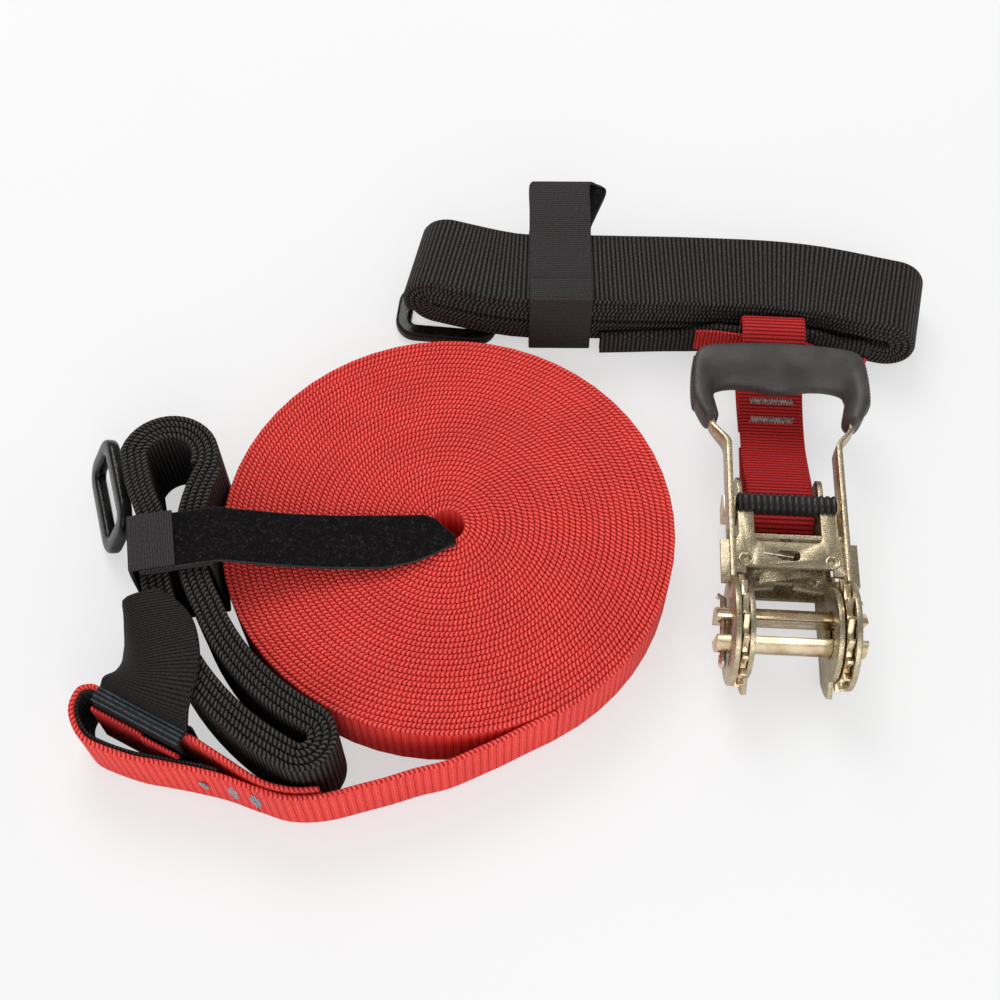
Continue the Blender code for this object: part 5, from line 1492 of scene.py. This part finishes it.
class SLACKLINE_OT_strap(bpy.types.Operator):
    """Loop the ratchet's strap and sew its tacks"""

    bl_idname = "slackline.strap"
    bl_label = "Ratchet's strap"

    def execute(self, context):
        ratchet = settings("ratchet")
        points = curve_through(route(STRAP_ROUTE), STRAP_STEPS)
        half = ratchet.strap_width / 2
        edges = [[(side, y, z) for y, z in points] for side in (-half, half)]
        grid = from_ratchet(np.linspace(*np.array(edges), LYING_LINES)) - COIL_PLACE
        thickness = ratchet.strap_thickness
        red = woven("red strap")
        webbing("ratchet_strap_webbing", grid, thickness, red, "ratchet_strap", wobble=STRAP_WOBBLE)
        top = curve_through(route(STRAP_ROUTE[STRAP_TOP_POINTS]), STRAP_TOP_STEPS)
        lines = []
        for row in TACK_ROWS:
            height = np.interp(row * MM, top[:, 0], top[:, 1]) + thickness / 2 + TACK_RISE
            across = np.linspace(-TACK_HALF, TACK_HALF, TACK_POINTS)
            lines.append(from_ratchet([(side, row * MM, height) for side in across]))
        ahead = from_ratchet((0.0, 1.0, 0.0)) - from_ratchet((0.0, 0.0, 0.0))
        grey = thread("grey thread", shaded(ratchet.thread, THREAD_SHADE), ratchet.thread)
        stitches("ratchet_strap_tacks", lines, ahead, grey, "ratchet_strap", TACK_STITCHES)
        return {"FINISHED"}


def eased(node, width, material):
    """A copy of a CAD node whose sharp edges are eased, which stands for it."""
    name = node + "_plated"
    mesh = frame["nodes"][node].data.copy()
    mesh.name = name
    bm = bmesh.new()
    bm.from_mesh(mesh)
    bmesh.ops.remove_doubles(bm, verts=bm.verts, dist=DOUBLES)
    bmesh.ops.dissolve_limit(bm, angle_limit=FLAT_ANGLE, verts=bm.verts, edges=bm.edges)
    bm.to_mesh(mesh)
    bm.free()
    item = new_object(name, mesh)
    step = item.modifiers.new("eased_edges", "BEVEL")
    step.width = width
    step.segments = 2
    step.limit_method = "ANGLE"
    step.angle_limit = EASED_ANGLE
    step.harden_normals = False
    coat(baked(item).data, material, PLATE_SHARP)
    return dress(item, node)


class SLACKLINE_OT_plates(bpy.types.Operator):
    """Finish the ratchet's plates, bolt and bars in yellow zinc, with eased edges"""

    bl_idname = "slackline.plates"
    bl_label = "Ratchet's plates"

    def execute(self, context):
        dull = zinc()
        bright = speckled("bright zinc", *SPECKLED["bright zinc"])
        for node in PLATES:
            eased(node, settings("ratchet").edge, dull if node in DULL_PLATES else bright)
        top = AXLE_HEIGHT + PAWL_LIFT + PAWL_PLATE / 2
        x_axis, y_axis, z_axis = np.eye(3)
        for name, side in (("left_dimple", -1.0), ("right_dimple", 1.0)):
            centre = np.array([side * DIMPLE_X, DIMPLE_Y, top])
            angles = np.linspace(0.0, 2 * math.pi, DIMPLE_SIDES + 1)
            rim = around(centre, x_axis, y_axis, DIMPLE_RADIUS, angles)
            mesh = wire_mesh(name + "_rim", from_ratchet(rim), DIMPLE_RIM, FINE_SIDES)
            place(name + "_rim", mesh, bright, "release_pawl", stands=False)
            below = centre - z_axis * PAWL_PLATE / 2
            sections = []
            for height, share in DIMPLE_RINGS:
                middle = below + z_axis * height * MM
                sections.append(around(middle, x_axis, y_axis, DIMPLE_RADIUS * share, turns(DIMPLE_SIDES)))
            place(name, tube_mesh(name, from_ratchet(sections)), dull, "release_pawl", stands=False)
        leg = np.array(SPRING_LEG) * MM + z_axis * top
        leg = from_ratchet(curve_through(leg, LEG_STEPS))
        mesh = wire_mesh("spring_leg", leg, SPRING_WIRE, FINE_SIDES)
        wire = speckled("bright wire", *SPECKLED["bright wire"])
        place("spring_leg", mesh, wire, "release_pawl", False)
        return {"FINISHED"}


GRIP_HALF_HEIGHT = 6.2 * MM
GRIP_HEIGHT = 26.3 * MM
GRIP_ROUND_SHARE = 0.74
GRIP_RIDGE_SHARE = 0.42
GRIP_SLOPE_SHARE = 1.25
GRIP_END_SHARE = 0.85
GRIP_RIB_START = 91.0 * MM
GRIP_RIB_STOP = 110.0 * MM
GRIP_RIB_DEPTH = 0.7 * MM
GRIP_RIB_PITCH = 1.45 * MM
GRIP_SIDES = 28
GRIP_END_STEPS = 24
GRIP_SHARP = 50.0

# Half of the grip's outline from a leg's tip to the bar's middle: its outer edge, and the
# inner edge across from it
GRIP_OUTLINE = [
    (27.4, 81.9, 23.4, 84.6), (29.5, 84.0, 23.3, 86.8), (31.6, 88.2, 23.8, 89.4), (32.8, 92.1, 24.4, 92.3),
    (33.1, 98.6, 24.9, 94.9), (32.9, 104.9, 24.5, 96.9), (32.3, 110.0, 23.9, 98.1), (30.9, 113.4, 22.1, 98.9),
    (28.2, 115.3, 19.8, 99.5), (22.8, 116.4, 16.2, 99.9), (15.0, 117.2, 11.2, 99.7), (8.6, 117.6, 6.6, 98.8),
    (4.0, 117.8, 3.0, 97.9), (0.0, 117.9, 0.0, 97.6),
]


class SLACKLINE_OT_handle_grip(bpy.types.Operator):
    """Mould the handle's grip with its ribbed sides"""

    bl_idname = "slackline.handle_grip"
    bl_label = "Handle's grip"

    def execute(self, context):
        half = route(GRIP_OUTLINE)
        dense = curve_through(half + [(-x, y, -u, v) for x, y, u, v in reversed(half[:-1])], GRIP_END_STEPS)
        walked = run_length(dense[:, :2])
        sections = []
        for index, (x, y, u, v) in enumerate(dense):
            middle = np.array([x + u, y + v]) / 2
            across = np.array([u - x, v - y]) / 2
            width = float(np.linalg.norm(across))
            end = min(index, len(dense) - 1 - index) / GRIP_END_STEPS
            shrink = math.sqrt(1.0 - max(0.0, GRIP_END_SHARE - end) ** 2)
            rib = GRIP_RIB_DEPTH * abs(math.sin(math.pi * walked[index] / GRIP_RIB_PITCH))
            rib *= GRIP_RIB_START < y < GRIP_RIB_STOP
            ring = []
            for angle in turns(GRIP_SIDES):
                cosine, sine = math.cos(angle), math.sin(angle)
                roundness = GRIP_SLOPE_SHARE if 0 < angle < math.pi / 2 else GRIP_ROUND_SHARE
                wide = squared(cosine, GRIP_ROUND_SHARE) * width * shrink
                wide -= GRIP_RIDGE_SHARE * width * max(0.0, sine) ** 2
                wide -= rib * max(0.0, -cosine) ** 0.5
                tall = squared(sine, roundness) * GRIP_HALF_HEIGHT * shrink
                ring.append((*(middle + across / width * wide), GRIP_HEIGHT + tall))
            sections.append(ring)
        mesh = tube_mesh("handle_grip_moulding", from_ratchet(sections))
        place("handle_grip_moulding", mesh, moulded(), "handle_grip", sharp=GRIP_SHARP)
        return {"FINISHED"}


RELEASE_HALF_LENGTH = 18.2 * MM
RELEASE_GRIP_MIDDLE = 47.7 * MM
RELEASE_GRIP_LENGTH = 7.4 * MM
RELEASE_GRIP_HEIGHT = 7.2 * MM
RELEASE_RIBS = 16
RELEASE_RIB_DEPTH = 0.7 * MM
RELEASE_RIB_SHARE = 0.9
RELEASE_END_SHARE = 1.4
RELEASE_END_STEPS = 3
RELEASE_ROUND_SHARE = 0.34
RELEASE_CORNER_STEPS = 4
RIB_STEPS = 8


class SLACKLINE_OT_release_grip(bpy.types.Operator):
    """Mould the ribbed finger grip of the release pawl"""

    bl_idname = "slackline.release_grip"
    bl_label = "Release grip"

    def execute(self, context):
        low_corner, high_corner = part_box("release_pawl_grip")
        centre = np.array([RELEASE_GRIP_MIDDLE, (low_corner[2] + high_corner[2]) / 2])
        half = np.array([RELEASE_GRIP_LENGTH, RELEASE_GRIP_HEIGHT]) / 2
        stations = RELEASE_RIBS * RIB_STEPS
        sections = []
        for step in range(stations + 1):
            wave = 0.5 - 0.5 * math.cos(2 * math.pi * step / RIB_STEPS)
            end = min(step, stations - step) / RELEASE_END_STEPS
            depth = RELEASE_RIB_DEPTH * (1.0 - math.sqrt(wave)) * RELEASE_RIB_SHARE
            depth += RELEASE_RIB_DEPTH * max(0.0, 1.0 - end) * RELEASE_END_SHARE
            low, high = centre - half + depth, centre + half - depth
            outline = rounded_box(low, high, (high[1] - low[1]) * RELEASE_ROUND_SHARE, RELEASE_CORNER_STEPS)
            across = RELEASE_HALF_LENGTH * (2 * step / stations - 1)
            sections.append([(across, y, z) for y, z in outline])
        mesh = tube_mesh("release_grip_moulding", from_ratchet(sections))
        place("release_grip_moulding", mesh, moulded("black grip", 0.34, 0.3), "release_pawl_grip")
        return {"FINISHED"}


DRUM_TURN = math.radians(13.0)
DRUM_RADIUS = 8.0 * MM
HANDLE_OUTER = 21.3 * MM
COTTER_RADIUS = 1.2 * MM
COTTER_REACH = 3.0 * MM
COTTER_NECK = 2.25 * MM
COTTER_LIFT = 2.3 * MM
COTTER_EYE_RADIUS = 1.8 * MM
COTTER_EYE_ANGLES = (90.0, 335.0)
COTTER_EYE_POINTS = 24


class SLACKLINE_OT_pins(bpy.types.Operator):
    """Bend the drum's split pins, and finish both springs"""

    bl_idname = "slackline.pins"
    bl_label = "Pins and springs"

    def execute(self, context):
        steel = speckled("bright wire", *SPECKLED["bright wire"])
        for node in ("release_spring", "stop_pawl_spring"):
            item = frame["nodes"][node]
            item.data.materials.clear()
            item.data.materials.append(steel)
        along = np.array([0.0, *heading(DRUM_TURN)])
        aside = np.array([0.0, *left_of(heading(DRUM_TURN))])
        for node, side in (("left_cotter_pin", -1.0), ("right_cotter_pin", 1.0)):
            centre = np.array([side * (HANDLE_OUTER + 2 * SEAT_GAP + COTTER_RADIUS), 0.0, AXLE_HEIGHT])
            tip = centre + along * (DRUM_RADIUS + COTTER_REACH)
            bent = tip + np.array([side * COTTER_LIFT, 0.0, 0.0]) + along * COTTER_RADIUS
            neck = centre - along * (DRUM_RADIUS + SEAT_GAP)
            eye = neck - along * COTTER_NECK - aside * COTTER_EYE_RADIUS
            angles = np.radians(np.linspace(*COTTER_EYE_ANGLES, COTTER_EYE_POINTS))
            points = [bent, tip, centre, neck] + around(eye, along, aside, COTTER_EYE_RADIUS, angles)
            place(node + "_wire", wire_mesh(node + "_wire", from_ratchet(points), COTTER_RADIUS), steel, node)
        return {"FINISHED"}


# Stage

FLOOR_REACH = 4.0
FLOOR_SHADE = 0.99
FLOOR_MOTTLE = (3.0, 60.0)
SEEN_SKY = 0.95
SENSOR_WIDTH = 36.0
BLACK = (0.0, 0.0, 0.0)

# Lamps: place, and width across
BACK_LAMP = ((-0.25, 0.95, 1.15), 0.9)
FRONT_LAMP = ((0.15, -1.25, 0.75), 1.2)


def floor_material(stage):
    """A pale floor, part of whose light shadows don't take in the camera's view."""
    values = {"Roughness": 0.9, "Specular IOR Level": 0.1, "Emission Strength": 1.0}
    material, tree, shader = new_material("pale floor", values)
    if tree:
        blotch = mottle_in(tree, *FLOOR_MOTTLE)["Blotch"]
        colour = tree.mix(blotch, shaded(stage.floor_colour, FLOOR_SHADE), stage.floor_colour)
        glow = tree.times(tree.add("ShaderNodeLightPath").outputs["Is Camera Ray"], stage.floor_glow)
        lit = {"Base Color": tree.mix(glow, colour, BLACK), "Emission Color": tree.mix(glow, BLACK, colour)}
        tree.drive(shader, lit)
    return material


def add_lamp(name, location, size, power):
    data = bpy.data.lights.new(name, "AREA")
    data.shape = "DISK"
    data.size = size
    data.energy = power
    lamp = new_object(name, data)
    lamp.location = location
    lamp.rotation_euler = (-Vector(location)).to_track_quat("-Z", "Y").to_euler()


class SLACKLINE_OT_stage(bpy.types.Operator):
    """Set the floor, the lamps, the sky and the camera"""

    bl_idname = "slackline.stage"
    bl_label = "Stage"

    def execute(self, context):
        stage = settings("stage")
        scene = context.scene
        scene.view_settings.view_transform = "Standard"
        mesh = bpy.data.meshes.new("floor")
        corners = [(x * FLOOR_REACH, y * FLOOR_REACH, 0.0) for x, y in ((-1, -1), (1, -1), (1, 1), (-1, 1))]
        mesh.from_pydata(corners, [], [(0, 1, 2, 3)])
        floor = new_object("floor", mesh)
        floor.location.z = CAD_BOX[0][2]
        mesh.materials.append(floor_material(stage))
        add_lamp("back lamp", *BACK_LAMP, stage.key_power)
        add_lamp("front lamp", *FRONT_LAMP, stage.fill_power)
        world = scene.world or bpy.data.worlds.new("sky")
        scene.world = world
        world.use_nodes = True
        sky = Tree(world.node_tree)
        path = sky.add("ShaderNodeLightPath").outputs
        lit = sky.blend(path["Is Glossy Ray"], stage.sky, stage.mirrored_sky)
        strength = sky.blend(path["Is Camera Ray"], lit, SEEN_SKY)
        background = world.node_tree.nodes["Background"]
        sky.drive(background, {"Color": (1.0, 1.0, 1.0, 1.0), "Strength": strength})
        data = bpy.data.cameras.new("camera")
        data.lens = stage.lens
        data.sensor_width = SENSOR_WIDTH
        camera = new_object("camera", data)
        camera.location = stage.camera_place
        camera.rotation_euler = (stage.camera_tilt, 0.0, 0.0)
        scene.camera = camera
        return {"FINISHED"}


# Panel and registration

SETTINGS = {
    "line": LineSettings, "sling": SlingSettings, "tie": TieSettings, "ratchet": RatchetSettings,
    "stage": StageSettings,
}
STEPS = (
    SLACKLINE_OT_stage, SLACKLINE_OT_line_coil, SLACKLINE_OT_line_ends, SLACKLINE_OT_left_hank,
    SLACKLINE_OT_left_eye, SLACKLINE_OT_left_tie, SLACKLINE_OT_right_hank, SLACKLINE_OT_right_eye,
    SLACKLINE_OT_right_tie, SLACKLINE_OT_rings, SLACKLINE_OT_strap, SLACKLINE_OT_plates,
    SLACKLINE_OT_handle_grip, SLACKLINE_OT_release_grip, SLACKLINE_OT_pins,
)


class SLACKLINE_PT_kit(bpy.types.Panel):
    bl_label = "Slackline kit"
    bl_idname = "SLACKLINE_PT_kit"
    bl_space_type = "VIEW_3D"
    bl_region_type = "UI"
    bl_category = "Slackline"

    def draw(self, context):
        for group in SETTINGS:
            box = self.layout.box()
            owner = settings(group)
            for name in owner.__annotations__:
                box.prop(owner, name)
        for operator in STEPS:
            self.layout.operator(operator.bl_idname)


def register():
    for name, group in SETTINGS.items():
        bpy.utils.register_class(group)
        setattr(bpy.types.Scene, "slackline_" + name, PointerProperty(type=group))
    for item in (*STEPS, SLACKLINE_PT_kit):
        bpy.utils.register_class(item)


def unregister():
    for item in (SLACKLINE_PT_kit, *reversed(STEPS)):
        bpy.utils.unregister_class(item)
    for name, group in SETTINGS.items():
        delattr(bpy.types.Scene, "slackline_" + name)
        bpy.utils.unregister_class(group)


def plain(box):
    return [[float(value) for value in corner] for corner in box]


def main():
    register()
    for step in STEPS:
        group, name = step.bl_idname.split(".")
        getattr(getattr(bpy.ops, group), name)()


if __name__ == "__main__":
    main()
